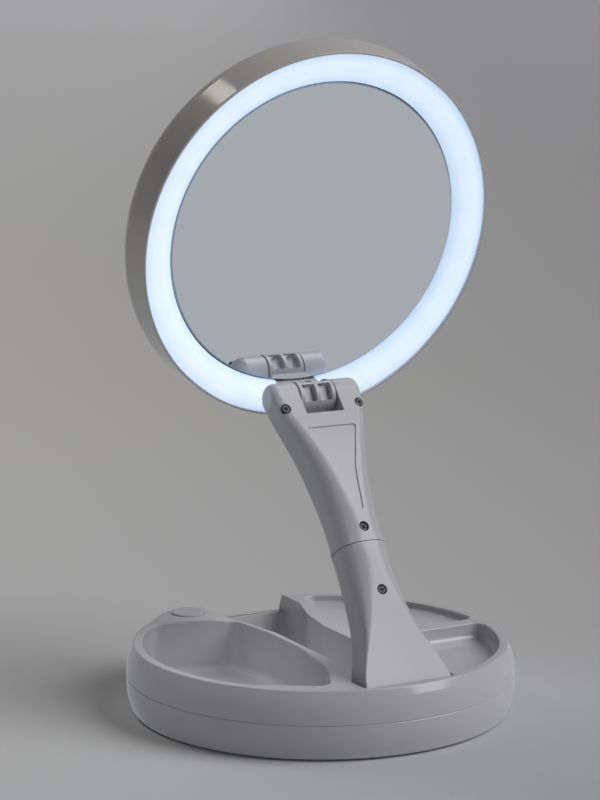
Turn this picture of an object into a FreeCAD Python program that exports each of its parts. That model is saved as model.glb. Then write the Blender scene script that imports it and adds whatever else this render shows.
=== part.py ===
import FreeCAD, Part
import math
import os
import re

import Sketcher

Vector = FreeCAD.Vector

# Driving sizes in millimetres and degrees: name, value, meaning
SIZES = [
    ("foot_height", 1.0, "foot pads below the base"),
    ("foot_radius", 6.0, "foot pad radius"),
    ("foot_set", 38.0, "foot pads inside the largest radius, along both axes"),
    ("foot_sunk", 0.8, "foot pad sunk in the base"),
    ("bottom_inset", 2.8, "bottom of the base inside its largest radius"),
    ("bottom_round", 1.6, "rounding of the bottom edge"),
    ("belly_radius", 88.0, "largest radius of the base, at the seam"),
    ("belly_draft", 0.1, "wall leaning in above and below the seam"),
    ("seam_height", 16.6, "parting seam of the base"),
    ("seam_line", 0.35, "groove along the seam"),
    ("shoulder_height", 23.5, "where the upper wall turns inwards"),
    ("waist_height", 9.0, "where the lower wall turns inwards"),
    ("wall_turn", 22.0, "rounding of the barrel shaped wall"),
    ("rim_height", 31.1, "top of the rim"),
    ("rim_inset", 3.4, "rim inside the largest radius"),
    ("rim_width", 4.0, "width of the rim"),
    ("rim_round", 0.8, "rounding of the rim's outer edge"),
    ("shell_wall", 2.4, "wall of the base shells"),
    ("deck", 2.2, "thickness of the deck and the base floor"),
    ("tub_wall", 2.0, "wall of the trays and the channel"),
    ("edge_round", 0.7, "rounding of the trays' upper edges"),
    ("floor_round", 3.0, "rounding of the deep trays' floors"),
    ("coin_round", 1.2, "rounding of the right back tray's floor"),
    ("channel_round", 2.0, "rounding of the channel's floor"),
    ("tray_round", 5.0, "rounding of the tray corners at the rim"),
    ("shell_gap", 1.0, "inner walls clear of the lower shell"),
    ("left_floor", 8.0, "floor of the left tray"),
    ("left_back_x", 19.0, "back corner of the left tray"),
    ("left_back_set", 12.85, "left tray's back wall in front of the button's centre"),
    ("left_back_slope", 15.5, "slope of the left tray's back wall"),
    ("left_waist_x", 15.0, "left tray beside the arm's neck"),
    ("left_turn_x", 20.5, "left tray beside the arm's foot"),
    ("left_tip_x", 33.0, "front tip of the left tray"),
    ("left_tip_set", 11.6, "front tip of the left tray inside the rim"),
    ("left_tip_round", 5.5, "rounding of the front tip"),
    ("left_front_past", 1.3, "front wall of the left tray ends outside the rim's inner radius"),
    ("left_front_bearing", 36.3, "direction of that end from the left"),
    ("left_sweep", 30.0, "rounding of the left tray's long wall"),
    ("channel_floor", 9.6, "floor of the arm channel"),
    ("channel_land", 0.8, "front end of the channel inside the rim"),
    ("channel_end", 0.6, "back end of the channel inside the rim"),
    ("channel_foot", 22.5, "half width at the arm's foot"),
    ("foot_room", 9.5, "wide part at the foot behind the lower hinge axis"),
    ("channel_neck", 12.7, "half width at the arm's neck"),
    ("channel_hip", 16.6, "half width half way to the fork"),
    ("channel_fork", 23.4, "half width at the fork"),
    ("fork_room", 17.0, "length of the wide part at the fork"),
    ("channel_corner", 2.0, "rounding of the channel's corners"),
    ("channel_sweep", 24.0, "rounding of the channel's long walls"),
    ("notch_floor", 23.0, "floor of the notch in the back rim"),
    ("dish_floor", 23.6, "floor of the right front tray"),
    ("dish_x", 21.0, "inner corner of the right front tray"),
    ("dish_foot_x", 28.0, "right front tray beside the foot"),
    ("coin_floor", 27.9, "floor of the right back tray"),
    ("coin_x", 20.0, "inner corner of the right back tray"),
    ("coin_back_x", 29.5, "right back tray beside the fork"),
    ("inner_round", 6.0, "rounding of the right trays' inner corners"),
    ("button_set", 14.5, "button inside the largest radius"),
    ("button_bearing", 118.6, "direction of the button from the right"),
    ("hump_height", 2.1, "hump above the rim"),
    ("hump_radius", 21.0, "hump from the button's centre"),
    ("button_radius", 7.6, "button cap radius"),
    ("button_proud", 0.5, "button above the hump"),
    ("button_gap", 0.3, "button clear of its hole"),
    ("button_travel", 0.9, "press of the button"),
    ("button_dish", 0.6, "depth of the button's hollow"),
    ("flange_radius", 8.4, "button flange radius"),
    ("flange_thick", 1.1, "button flange thickness"),
    ("flange_gap", 0.2, "button flange below the deck"),
    ("press_gap", 0.1, "pressed stem clear of the switch"),
    ("button_flat", 5.7, "radius of the button's hollow"),
    ("stem_radius", 2.0, "button stem radius"),
    ("stem_length", 1.7, "button stem below its flange"),
    ("switch_side", 6.0, "tact switch side"),
    ("switch_height", 3.5, "tact switch body height"),
    ("plunger_radius", 1.75, "tact switch plunger radius"),
    ("plunger_height", 0.8, "tact switch plunger height"),
    ("board_width", 15.0, "control board along the tray's wall"),
    ("board_depth", 13.0, "control board across"),
    ("board_thick", 1.6, "circuit board thickness"),
    ("board_post", 2.0, "board post radius"),
    ("board_post_side", 5.0, "board posts on either side of the button"),
    ("screw_front_x", 28.5, "front base screws"),
    ("screw_front_set", 17.0, "front base screws inside the largest radius"),
    ("screw_back_x", 28.8, "back base screws"),
    ("screw_back_set", 13.2, "back base screws inside the largest radius"),
    ("screw_post", 3.0, "screw post radius"),
    ("post_meet", 12.0, "height where upper and lower posts meet"),
    ("screw_head", 2.1, "screw head radius"),
    ("screw_head_thick", 1.4, "screw head thickness"),
    ("screw_shank", 1.25, "screw shank radius"),
    ("screw_length", 11.0, "base screw shank length"),
    ("screw_sunk", 2.2, "screw head below the surface"),
    ("screw_play", 0.05, "screw clear of its hole"),
    ("head_play", 0.25, "screw head clear of its counterbore"),
    ("cell_radius", 7.1, "battery radius"),
    ("cell_length", 49.2, "battery body length"),
    ("cell_nub_radius", 2.75, "battery nub radius"),
    ("cell_nub", 1.3, "battery nub length"),
    ("cell_pitch", 15.2, "battery spacing"),
    ("cell_bottom", 3.0, "underside of the batteries"),
    ("cell_play", 0.4, "battery clear of the bay"),
    ("bay_set", 63.6, "inner end of the battery bay inside the bottom's radius"),
    ("bay_wall", 1.8, "wall of the battery bay"),
    ("contact_thick", 0.6, "contact plate thickness"),
    ("contact_side", 11.0, "contact plate side"),
    ("spring_radius", 3.2, "contact spring radius"),
    ("spring_length", 0.9, "compressed contact spring"),
    ("door_thick", 1.8, "battery door thickness"),
    ("door_gap", 0.25, "battery door clear of the bay"),
    ("finger_radius", 9.0, "finger scoop beside the door"),
    ("finger_depth", 1.2, "finger scoop depth"),
    ("pivot_set", 7.3, "lower hinge axis behind the channel's front end"),
    ("pivot_z", 21.9, "lower hinge axis"),
    ("pivot_back", 0.7, "lower hinge axis behind the arm's centre line"),
    ("arm_lean", 34.65, "arm leaning back from upright"),
    ("arm_length", 144.4, "lower hinge to upper hinge along the arm"),
    ("pin_radius", 2.5, "hinge pin radius"),
    ("pin_play", 0.05, "running clearance of pins and spindle"),
    ("pin_end", 0.2, "pins clear of the ends of their holes"),
    ("pin_seat", 4.5, "lower pin held in the base at each end"),
    ("foot_barrel", 8.5, "radius of the arm's foot"),
    ("foot_half", 19.5, "half width of the arm's foot"),
    ("foot_clear", 0.6, "foot clear of its socket"),
    ("hinge_block", 29.0, "half width of the block round the foot"),
    ("block_bottom", 12.0, "underside of the block round the foot"),
    ("washer_radius", 6.0, "hinge washer radius"),
    ("washer_gap", 0.1, "hinge washer clear of foot and wall"),
    ("neck_half", 11.4, "half width of the neck"),
    ("neck_round", 9.0, "rounding of the neck"),
    ("seam_gap", 0.35, "gap at the swivel seam"),
    ("split_back", 4.0, "front and rear arm shells meet behind the line"),
    ("spindle_radius", 6.0, "swivel spindle radius"),
    ("spindle_bore", 3.5, "wire bore of the spindle"),
    ("spindle_up", 14.0, "spindle in the upper arm"),
    ("spindle_down", 18.0, "spindle in the lower arm"),
    ("ring_radius", 8.0, "swivel retaining ring radius"),
    ("ring_thick", 2.0, "swivel retaining ring thickness"),
    ("ring_clear", 0.4, "retaining ring clear of its pocket"),
    ("low_screw_drop", 4.7, "lower arm screw below the spindle's end"),
    ("mid_screw_rise", 6.8, "upper arm neck screw above the swivel seam"),
    ("ear_screw_drop", 8.0, "ear screws below the upper hinge axis"),
    ("ear_screw_x", 18.6, "ear screws from the middle"),
    ("ear_front", 8.5, "arm's front at the ear screws"),
    ("arm_screw_end", 7.0, "arm screws end behind the line"),
    ("fork_half", 22.5, "half width of the fork"),
    ("fork_notch", 9.5, "half width of the fork's notch"),
    ("notch_depth", 11.6, "notch below the upper hinge axis"),
    ("ear_radius", 7.2, "ear radius about the upper hinge"),
    ("ear_round", 3.5, "rounding of the ears' outer corners"),
    ("ear_sink", 0.25, "limb's end inside the ears"),
    ("pin_in_ear", 10.5, "upper pin held in each ear"),
    ("panel_depth", 0.5, "flat panel on the fork's front, sunk"),
    ("panel_drop", 18.9, "upper edge of the panel below the upper hinge axis"),
    ("panel_wide", 12.4, "half width of the panel at its upper edge"),
    ("panel_elbow_wide", 4.8, "half width of the panel there"),
    ("panel_low_wide", 2.4, "half width of the panel at its lower end"),
    ("panel_sweep", 40.0, "rounding of the panel's sides"),
    ("panel_corner", 1.0, "rounding of the panel's corners"),
    ("head_tilt", 14.8, "head leaning forward from upright"),
    ("hinge_front", 10.9, "upper hinge in front of the lit ring"),
    ("hinge_rise", 15.0, "upper hinge above the head's lowest point"),
    ("barrel_half", 8.7, "half width of the knuckle"),
    ("barrel_radius", 7.5, "knuckle radius"),
    ("barrel_rib", 1.7, "ribs beside the knuckle's pockets"),
    ("pocket_floor", 4.2, "knuckle pockets' floor from the axis"),
    ("pocket_high", 8.0, "knuckle pockets' height"),
    ("pocket_front", 43.0, "front pockets turned up from the front"),
    ("pocket_back", 120.0, "back pockets turned up from the front"),
    ("tongue_half", 10.0, "half width of the tongue"),
    ("tongue_thick", 6.0, "tongue thickness"),
    ("tongue_gap", 0.4, "tongue clear of the ring and the glass"),
    ("flange_half", 13.0, "half width of the bracket's flange"),
    ("flange_drop", 11.0, "height of the bracket's flange"),
    ("flange_plate", 3.0, "bracket flange thickness"),
    ("ring_inset", 2.7, "lit ring inside the head's largest radius"),
    ("ring_width", 13.5, "width of the lit ring"),
    ("ring_set", 4.2, "inner edge of the lit ring set back"),
    ("ring_crown", 16.0, "rounding of the lit ring"),
    ("ring_face", 0.1, "crown of the lit ring set back"),
    ("ring_edge", 0.6, "outer edge of the lit ring set back"),
    ("ring_wall", 2.0, "lit ring thickness"),
    ("glass_gap", 0.7, "mirror glass clear of the lit ring"),
    ("glass_set", 4.7, "mirror glass behind the lit ring"),
    ("glass_thick", 3.0, "mirror glass thickness"),
    ("glass_bevel", 0.5, "ground edge of the glass"),
    ("carrier_inset", 3.6, "mirror carrier inside the head's largest radius"),
    ("carrier_wall", 2.0, "mirror carrier thickness"),
    ("collar_wall", 1.5, "collar behind the lit ring"),
    ("carrier_set", 12.0, "carrier's outer plate behind the lit ring"),
    ("case_radius", 87.0, "largest radius of the head"),
    ("case_flare", 1.5, "front of the head inside its largest radius"),
    ("case_lip", 0.6, "bezel lip in front of the lit ring"),
    ("case_seam", 14.0, "bezel and back cover meet"),
    ("case_depth", 24.0, "depth of the head at its rounded back edge"),
    ("case_crown", 1.4, "domed middle of the back cover"),
    ("case_rise", 1.1, "domed back half way out"),
    ("case_round", 8.0, "rounding of the back edge"),
    ("case_dome", 300.0, "rounding of the domed back"),
    ("case_draft", 0.6, "back cover's side leaning inwards"),
    ("case_wall", 2.0, "wall of the head casing"),
    ("case_gap", 0.2, "lit ring clear of the bezel"),
    ("case_lip_round", 0.5, "rounding of the bezel lip"),
    ("shelf_back", 6.0, "back of the bezel shelf"),
    ("shelf_inset", 4.6, "bezel shelf inside the head's largest radius"),
    ("led_count", 24, "lamps round the ring"),
    ("led_inset", 9.0, "lamps inside the head's largest radius"),
    ("led_side", 2.8, "lamp side"),
    ("led_thick", 0.9, "lamp height"),
    ("led_band", 4.6, "half width of the lamp board"),
    ("far", 60.0, "cutting tools reach past the part"),
]

# Places in the base as shares of its largest radius, and along the arm as shares of its length
BASE_SHARES = [
    ("left_waist_y", 0.2500, "end of the straight wall beside the neck"),
    ("left_hip_y", -0.0909, "start of the straight wall beside the neck"),
    ("left_turn_y", -0.5000, "left tray beside the arm's foot"),
    ("channel_neck_front", -0.3864, "start of the narrow part"),
    ("channel_neck_back", 0.2273, "end of the narrow part"),
    ("channel_hip_y", 0.4886, "half way to the fork"),
    ("dish_y", -0.0966, "back wall of the right front tray"),
    ("dish_waist_y", -0.3864, "right front tray beside the neck"),
    ("dish_foot_y", -0.7045, "right front tray beside the foot"),
    ("coin_y", -0.0136, "front wall of the right back tray"),
    ("coin_waist_y", 0.4545, "right back tray beside the neck"),
    ("coin_back_y", 0.7045, "right back tray beside the fork"),
]
ARM_SHARES = [
    ("neck_seam", 0.4785, "swivel seam along the arm"),
    ("panel_elbow", 0.7202, "where the panel narrows"),
    ("panel_low", 0.5817, "lower end of the panel along the arm"),
]

# Loft sections of the arm: share of its length, half width, front, back, back and front corner rounding
FOOT_SECTIONS = [
    ("foot", 0.0208, 21.3, 9.4, 7.2, 3.0, 0.8),
    ("shin", 0.0762, 19.4, 9.4, 7.7, 3.4, 0.8),
    ("calf", 0.1537, 15.3, 9.4, 9.2, 5.0, 1.6),
    ("knee", 0.2590, 12.2, 9.9, 10.6, 7.2, 5.0),
    ("stem", 0.3560, 11.5, 10.8, 11.2, 8.8, 8.8),
]
FORK_SECTIONS = [
    ("upper_stem", 0.6163, 11.5, 11.5, 11.3, 8.8, 8.8),
    ("elbow", 0.6814, 12.2, 11.4, 10.8, 7.4, 7.4),
    ("spread", 0.7992, 15.4, 10.7, 9.0, 5.9, 5.9),
    ("palm", 0.8961, 19.6, 9.1, 7.6, 5.0, 5.0),
]
for section, share, half, front, back, corner, crease in FOOT_SECTIONS + FORK_SECTIONS:
    ARM_SHARES += [(section + "_along", share, section + " section")]
    SIZES += [
        (section + "_wide", half, section + " section half width"),
        (section + "_front", front, section + " section in front of the line"),
        (section + "_rear", back, section + " section behind the line"),
        (section + "_corner", corner, section + " section back corner rounding"),
        (section + "_crease", crease, section + " section front corner rounding"),
    ]
for shares, whole in ((BASE_SHARES, "base's radius"), (ARM_SHARES, "arm's length")):
    SIZES += [(name + "_share", share, f"{meaning}, share of the {whole}") for name, share, meaning in shares]

doc = FreeCAD.newDocument("TabletopMirror")
sheet = doc.addObject("Spreadsheet::Sheet", "Sizes")
for row, (alias, number, meaning) in enumerate(SIZES, 1):
    sheet.set(f"A{row}", meaning)
    sheet.set(f"B{row}", str(number))
    sheet.setAlias(f"B{row}", alias)
doc.recompute()

# Sizes that follow from others
DERIVED = {
    "bottom_radius": "(belly_radius - bottom_inset)",
    "rim_outer": "(belly_radius - rim_inset)",
    "rim_inner": "(rim_outer - rim_width)",
    "channel_front": "(rim_inner - channel_land)",
    "channel_back": "(rim_inner - channel_end)",
    "channel_fork_y": "(channel_back - fork_room)",
    "channel_foot_y": "(pivot_y + foot_room)",
    "pivot_y": "(pivot_set - channel_front)",
    "button_place": "(belly_radius - button_set)",
    "screw_front_y": "(screw_front_set - belly_radius)",
    "screw_back_y": "(belly_radius - screw_back_set)",
    "foot_place": "(belly_radius - foot_set)",
    "left_tip_y": "(left_tip_set - rim_inner)",
    "button_across": "(-button_place * cos(button_bearing))",
    "button_along": "(button_place * sin(button_bearing))",
    "left_back_y": "(button_along - left_back_set - (button_across - left_back_x) * tan(left_back_slope))",
    "left_front_x": "((rim_inner + left_front_past) * cos(left_front_bearing))",
    "left_front_y": "(-(rim_inner + left_front_past) * sin(left_front_bearing))",
    "bay_start": "(bottom_radius - bay_set)",
    "case_front": "(case_radius - case_flare)",
    "ring_outer": "(case_radius - ring_inset)",
    "ring_inner": "(ring_outer - ring_width)",
    "glass_radius": "(ring_inner - glass_gap)",
    "carrier_radius": "(case_radius - carrier_inset)",
    "shelf_inner": "(case_radius - shelf_inset)",
    "led_place": "(case_radius - led_inset)",
    "hinge_drop": "(case_radius - hinge_rise)",
    "low_screw": "(neck_seam - spindle_down - low_screw_drop)",
    "mid_screw": "(neck_seam + mid_screw_rise)",
    "ear_screw": "(arm_length - ear_screw_drop)",
    "panel_top": "(arm_length - panel_drop)",
}
DERIVED |= {name: f"({name}_share * belly_radius)" for name, _, _ in BASE_SHARES}
DERIVED |= {name: f"({name}_share * arm_length)" for name, _, _ in ARM_SHARES}
FOLLOWING = re.compile(r"\b(" + "|".join(DERIVED) + r")\b")
ALIASES = re.compile(r"\b(" + "|".join(alias for alias, _, _ in SIZES) + r")\b")


def bound(expression):
    """An expression on the sizes, written for the sheet."""
    text = str(expression)
    while FOLLOWING.search(text):
        text = FOLLOWING.sub(lambda found: DERIVED[found.group(1)], text)
    return ALIASES.sub(r"Sizes.\1", text)


def value(expression):
    """The number that an expression on the sizes gives now."""
    return float(sheet.evalExpression(bound(expression)))


def bind(item, **sizes):
    """Tie properties of a document object to the sizes."""
    for name, expression in sizes.items():
        item.setExpression(name, bound(expression))
    return item


def place(item, x="0", y="0", z="0", axis=None, angle="0"):
    """Tie the placement of a document object to the sizes."""
    if axis is not None:
        item.Placement = FreeCAD.Placement(Vector(), FreeCAD.Rotation(axis, 45))
        item.setExpression("Placement.Rotation.Angle", bound(angle))
    for letter, expression in (("x", x), ("y", y), ("z", z)):
        item.setExpression("Placement.Base." + letter, bound(expression))
    return item


ALONG_X = Vector(0, 1, 0)
ALONG_Y = Vector(-1, 0, 0)
UPRIGHT = Vector(0, 0, 1)
LEFTWARD = Vector(-1, 0, 0)


def cylinder(name, radius, length, x="0", y="0", z="0", axis=None):
    """A cylinder that starts at a point and runs along Z, or along X or Y."""
    item = bind(doc.addObject("Part::Cylinder", name), Radius=radius, Height=length)
    return place(item, x, y, z, axis, "90")


def box(name, x, y, z, length, width, height):
    """A box from its lowest corner."""
    item = bind(doc.addObject("Part::Box", name), Length=length, Width=width, Height=height)
    return place(item, x, y, z)


def fuse(name, pieces):
    """Several solids as one."""
    item = doc.addObject("Part::MultiFuse", name)
    item.Shapes = pieces
    item.Refine = True
    return item


def common(name, base, tool):
    """What two solids share."""
    item = doc.addObject("Part::Common", name)
    item.Base = base
    item.Tool = tool
    return item


def cut(name, base, tools):
    """A solid less one or more others."""
    item = doc.addObject("Part::Cut", name)
    item.Base = base
    item.Tool = tools[0] if len(tools) == 1 else fuse(name + "_tools", tools)
    item.Refine = True
    return item


def group(name, pieces):
    """Like pieces that share one node."""
    item = doc.addObject("Part::Compound", name)
    item.Links = pieces
    return item


def new_body(name):
    """An empty body."""
    return doc.addObject("PartDesign::Body", name)


def new_sketch(body, name, role, offset="0"):
    """A sketch on one of a body's origin planes."""
    sketch = body.newObject("Sketcher::SketchObject", name)
    plane = next(item for item in body.Origin.OriginFeatures if item.Role == role)
    sketch.AttachmentSupport = [(plane, "")]
    sketch.MapMode = "FlatFace"
    sketch.setExpression("AttachmentOffset.Base.z", bound(offset))
    return sketch


def pin_point(sketch, geometry, point, x, y):
    """Hold a sketch point at a place given by the sizes."""
    for kind, expression, axis in (("DistanceX", x, -2), ("DistanceY", y, -1)):
        number = value(expression)
        if abs(number) < 1e-9:
            sketch.addConstraint(Sketcher.Constraint("PointOnObject", geometry, point, axis))
            continue
        index = sketch.addConstraint(Sketcher.Constraint(kind, -1, 1, geometry, point, number))
        sketch.setExpression(f"Constraints[{index}]", bound(expression))


def draw_outline(sketch, corners):
    """A closed outline of straight lines, with a rounding at each corner that has one."""
    points = [Vector(value(x), value(y), 0) for x, y, _ in corners]
    radii = [value(corner) if corner else 0.0 for _, _, corner in corners]
    count = len(points)
    ends = []
    for index, point in enumerate(points):
        before = (points[index - 1] - point).normalize()
        after = (points[(index + 1) % count] - point).normalize()
        if radii[index] == 0.0:
            ends.append((point, point, point))
            continue
        half = before.getAngle(after) / 2
        reach = radii[index] / math.tan(half)
        inward = (before + after).normalize()
        middle = point + inward * (radii[index] / math.sin(half) - radii[index])
        ends.append((point + before * reach, point + after * reach, middle))
    lines = []
    for index in range(count):
        line = Part.LineSegment(ends[index][1], ends[(index + 1) % count][0])
        lines.append(sketch.addGeometry(line, False))
    for index, (x, y, corner) in enumerate(corners):
        arriving, leaving = lines[index - 1], lines[index]
        start, end, middle = ends[index]
        if radii[index] == 0.0:
            sketch.addConstraint(Sketcher.Constraint("Coincident", arriving, 2, leaving, 1))
            pin_point(sketch, leaving, 1, x, y)
            continue
        arc = sketch.addGeometry(Part.Arc(start, middle, end), False)
        first = 1 if sketch.getPoint(arc, 1).distanceToPoint(start) < 1e-6 else 2
        sketch.addConstraint(Sketcher.Constraint("Tangent", arriving, 2, arc, first))
        sketch.addConstraint(Sketcher.Constraint("Tangent", arc, 3 - first, leaving, 1))
        radius = sketch.addConstraint(Sketcher.Constraint("Radius", arc, radii[index]))
        sketch.setExpression(f"Constraints[{radius}]", bound(corner))
        tip = sketch.addGeometry(Part.Point(points[index]), True)
        sketch.addConstraint(Sketcher.Constraint("PointOnObject", tip, 1, arriving))
        sketch.addConstraint(Sketcher.Constraint("PointOnObject", tip, 1, leaving))
        pin_point(sketch, tip, 1, x, y)


def turned(name, role, corners):
    """A body turned about the upright axis of a sketch through the corners."""
    body = new_body(name)
    sketch = new_sketch(body, name + "_profile", role)
    draw_outline(sketch, corners)
    turn = body.newObject("PartDesign::Revolution", name + "_turn")
    turn.Profile = sketch
    turn.ReferenceAxis = (sketch, ["V_Axis"])
    turn.Angle = 360
    return body


def prism(name, corners, bottom, top, grow=None):
    """An upright prism on an outline, which can be grown sideways by a wall."""
    body = new_body(name)
    sketch = new_sketch(body, name + "_plan", "XY_Plane")
    draw_outline(sketch, corners)
    source = sketch
    if grow is not None:
        source = bind(doc.addObject("Part::Offset2D", name + "_offset"), Value=grow)
        source.Source = sketch
        source.Join = 0
    item = doc.addObject("Part::Extrusion", name + "_solid")
    item.Base = source
    item.DirMode = "Custom"
    item.Dir = Vector(0, 0, 1)
    item.Solid = True
    bind(item, LengthFwd=f"{top} - ({bottom})")
    return place(item, z=bottom)


def mirrored(right_side):
    """A right-hand run of corners continued by its mirror image."""
    left_side = [(f"-({x})", y, corner) for x, y, corner in reversed(right_side)]
    return right_side + left_side


# Base: outlines of the trays and the channel
LEFT_TRAY = [
    ("-left_back_x", "left_back_y", "inner_round"),
    ("-left_waist_x", "left_waist_y", "left_sweep"),
    ("-left_waist_x", "left_hip_y", "left_sweep"),
    ("-left_turn_x", "left_turn_y", "left_sweep"),
    ("-left_tip_x", "left_tip_y", "left_tip_round"),
    ("-left_front_x", "left_front_y", None),
    ("-belly_radius - far", "left_front_y", None),
    ("-belly_radius - far", "left_back_y + (belly_radius + far - left_back_x) * tan(left_back_slope)",
     None),
]
CHANNEL = mirrored([
    ("channel_foot", "-channel_front", "channel_corner"),
    ("channel_foot", "channel_foot_y", "channel_corner * 4"),
    ("channel_neck", "channel_neck_front", "channel_sweep"),
    ("channel_neck", "channel_neck_back", "channel_sweep"),
    ("channel_hip", "channel_hip_y", "channel_sweep"),
    ("channel_fork", "channel_fork_y", "channel_corner * 3"),
    ("channel_fork", "channel_back", "channel_corner"),
])
DISH = [
    ("dish_x", "dish_y", "inner_round"),
    ("dish_x", "dish_waist_y", "inner_round * 3"),
    ("dish_foot_x", "dish_foot_y", "inner_round"),
    ("dish_foot_x", "-belly_radius - far", None),
    ("belly_radius + far", "-belly_radius - far", None),
    ("belly_radius + far", "dish_y", None),
]
COIN_TRAY = [
    ("coin_x", "coin_y", "inner_round"),
    ("belly_radius + far", "coin_y", None),
    ("belly_radius + far", "belly_radius + far", None),
    ("coin_back_x", "belly_radius + far", None),
    ("coin_back_x", "coin_back_y", "inner_round"),
    ("coin_x", "coin_waist_y", "inner_round * 3"),
]
BUTTON_X = "(-button_across)"
BUTTON_Y = "button_along"
ABOVE = "rim_height + far"
TOUCH = 1e-4


def rounded(name, base, radius, chosen):
    """A solid with the edges that a test chooses rounded."""
    doc.recompute()
    item = doc.addObject("Part::Fillet", name)
    item.Base = base
    edges = enumerate(base.Shape.Edges, 1)
    item.Edges = [(number, value(radius), value(radius)) for number, edge in edges if chosen(edge)]
    return item


def floored(name, base, radius, floor):
    """A hollow with a rounded floor."""
    level = value(floor)

    def on_floor(edge):
        return max(abs(edge.BoundBox.ZMin - level), abs(edge.BoundBox.ZMax - level)) < TOUCH

    return rounded(name, base, radius, on_floor)


def at_rim(edge):
    """Whether an upright edge lies on the rim's inner wall."""
    low, high = edge.Vertexes[0].Point, edge.Vertexes[-1].Point
    upright = math.hypot(low.x - high.x, low.y - high.y) < TOUCH
    return upright and abs(math.hypot(low.x, low.y) - value("rim_inner")) < TOUCH


def tray(name, corners, floor, floor_radius):
    """The hollow of a tray inside the rim, with rounded corners and floor, and its outside."""
    inside = prism(name + "_inside", corners, floor, ABOVE)
    limit = cylinder(name + "_limit", "rim_inner", f"{ABOVE} - ({floor})", z=floor)
    hollow = common(name + "_hollow", inside, limit)
    upright = rounded(name + "_upright", hollow, "tray_round", at_rim)
    smooth = floored(name + "_smooth", upright, floor_radius, floor)
    bottom = f"{floor} - tub_wall"
    grown = prism(name + "_outside", corners, bottom, "rim_height - deck / 2", "tub_wall")
    reach = cylinder(name + "_reach", "rim_inner + tub_wall", f"{ABOVE} - ({bottom})", z=bottom)
    return smooth, common(name + "_tub", grown, reach)


# Base upper shell: outer wall and deck, trays, channel, hinge block, hump and posts
left_hollow, left_tub = tray("left_tray", LEFT_TRAY, "left_floor", "floor_round")
dish_hollow, dish_tub = tray("dish", DISH, "dish_floor", "floor_round")
coin_hollow, coin_tub = tray("coin_tray", COIN_TRAY, "coin_floor", "coin_round")
channel_inside = prism("channel_inside", CHANNEL, "channel_floor", ABOVE)
channel_hollow = floored("channel_hollow", channel_inside, "channel_round", "channel_floor")
channel_grown = prism("channel_outside", CHANNEL, "channel_floor - tub_wall", "rim_height - deck / 2",
                      "tub_wall")
INNER_LIMIT = "belly_radius - shell_wall - shell_gap"
channel_tub = common("channel_tub", channel_grown, cylinder("channel_reach", INNER_LIMIT, ABOVE))
block = box("hinge_block_box", "-hinge_block", "-belly_radius", "block_bottom", "2 * hinge_block",
            "belly_radius + channel_foot_y", "rim_height - deck / 2 - block_bottom")
hinge_block = common("hinge_block_form", block, cylinder("block_reach", INNER_LIMIT, ABOVE))

UPPER_FORM = [
    ("belly_radius - seam_line", "seam_height", None),
    ("belly_radius", "seam_height + seam_line", None),
    ("belly_radius - belly_draft", "shoulder_height", "wall_turn"),
    ("rim_outer", "rim_height", "rim_round"),
    ("0", "rim_height", None),
]
UPPER_WALL = [
    ("0", "rim_height - deck", None),
    ("rim_outer - shell_wall", "rim_height - deck", None),
    ("belly_radius - shell_wall", "seam_height", None),
] + UPPER_FORM
upper_wall = turned("upper_wall", "XZ_Plane", UPPER_WALL)
hump_ball = bind(doc.addObject("Part::Sphere", "hump_ball"),
                 Radius="(hump_radius ^ 2 + hump_height ^ 2) / (2 * hump_height)")
place(hump_ball, BUTTON_X, BUTTON_Y,
      "rim_height + hump_height - (hump_radius ^ 2 + hump_height ^ 2) / (2 * hump_height)")
hump_reach = cylinder("hump_reach", "rim_outer - rim_round", "deck + hump_height", z="rim_height - deck")
hump = common("hump", hump_ball, hump_reach)

SCREWS = [
    ("screw_front_x", "screw_front_y"),
    ("-screw_front_x", "screw_front_y"),
    ("screw_back_x", "screw_back_y"),
    ("-screw_back_x", "screw_back_y"),
]
upper_posts = []
for number, (x, y) in enumerate(SCREWS):
    upper_posts.append(cylinder(f"upper_post_{number}", "screw_post", "rim_height - deck / 2 - post_meet",
                                x, y, "post_meet"))
FLANGE_TOP = "(rim_height - deck - flange_gap)"
STEM_LOW = f"({FLANGE_TOP} - flange_thick - stem_length)"
SWITCH_BOTTOM = f"({STEM_LOW} - button_travel - press_gap - plunger_height - switch_height)"
posts_reach = cylinder("posts_reach", INNER_LIMIT, ABOVE)
posts = common("posts", fuse("all_posts", upper_posts), posts_reach)

upper_solid = fuse("upper_solid", [upper_wall, left_tub, dish_tub, coin_tub, channel_tub, hinge_block,
                                   hump, posts])
foot_socket = cylinder("foot_socket", "foot_barrel + foot_clear", "2 * (foot_half + foot_clear)",
                       "-foot_half - foot_clear", "pivot_y", "pivot_z", ALONG_X)
PIN_HALF = "channel_foot + pin_seat"
lower_pin_hole = cylinder("lower_pin_hole", "pin_radius + pin_play", f"2 * ({PIN_HALF})", f"-({PIN_HALF})",
                          "pivot_y", "pivot_z", ALONG_X)
rim_notch = box("rim_notch", "-channel_fork", "channel_back - channel_corner", "notch_floor",
                "2 * channel_fork", "far", "far")
button_hole = cylinder("button_hole", "button_radius + button_gap", "far", BUTTON_X, BUTTON_Y,
                       "rim_height - 2 * deck")
screw_bores = []
for number, (x, y) in enumerate(SCREWS):
    screw_bores.append(cylinder(f"screw_bore_{number}", "screw_shank + screw_play",
                                "screw_length + screw_sunk", x, y, "foot_height"))
upper_cut = cut("upper_cut", upper_solid,
                [left_hollow, dish_hollow, coin_hollow, channel_hollow, foot_socket, lower_pin_hole,
                 rim_notch, button_hole] + screw_bores)


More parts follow.
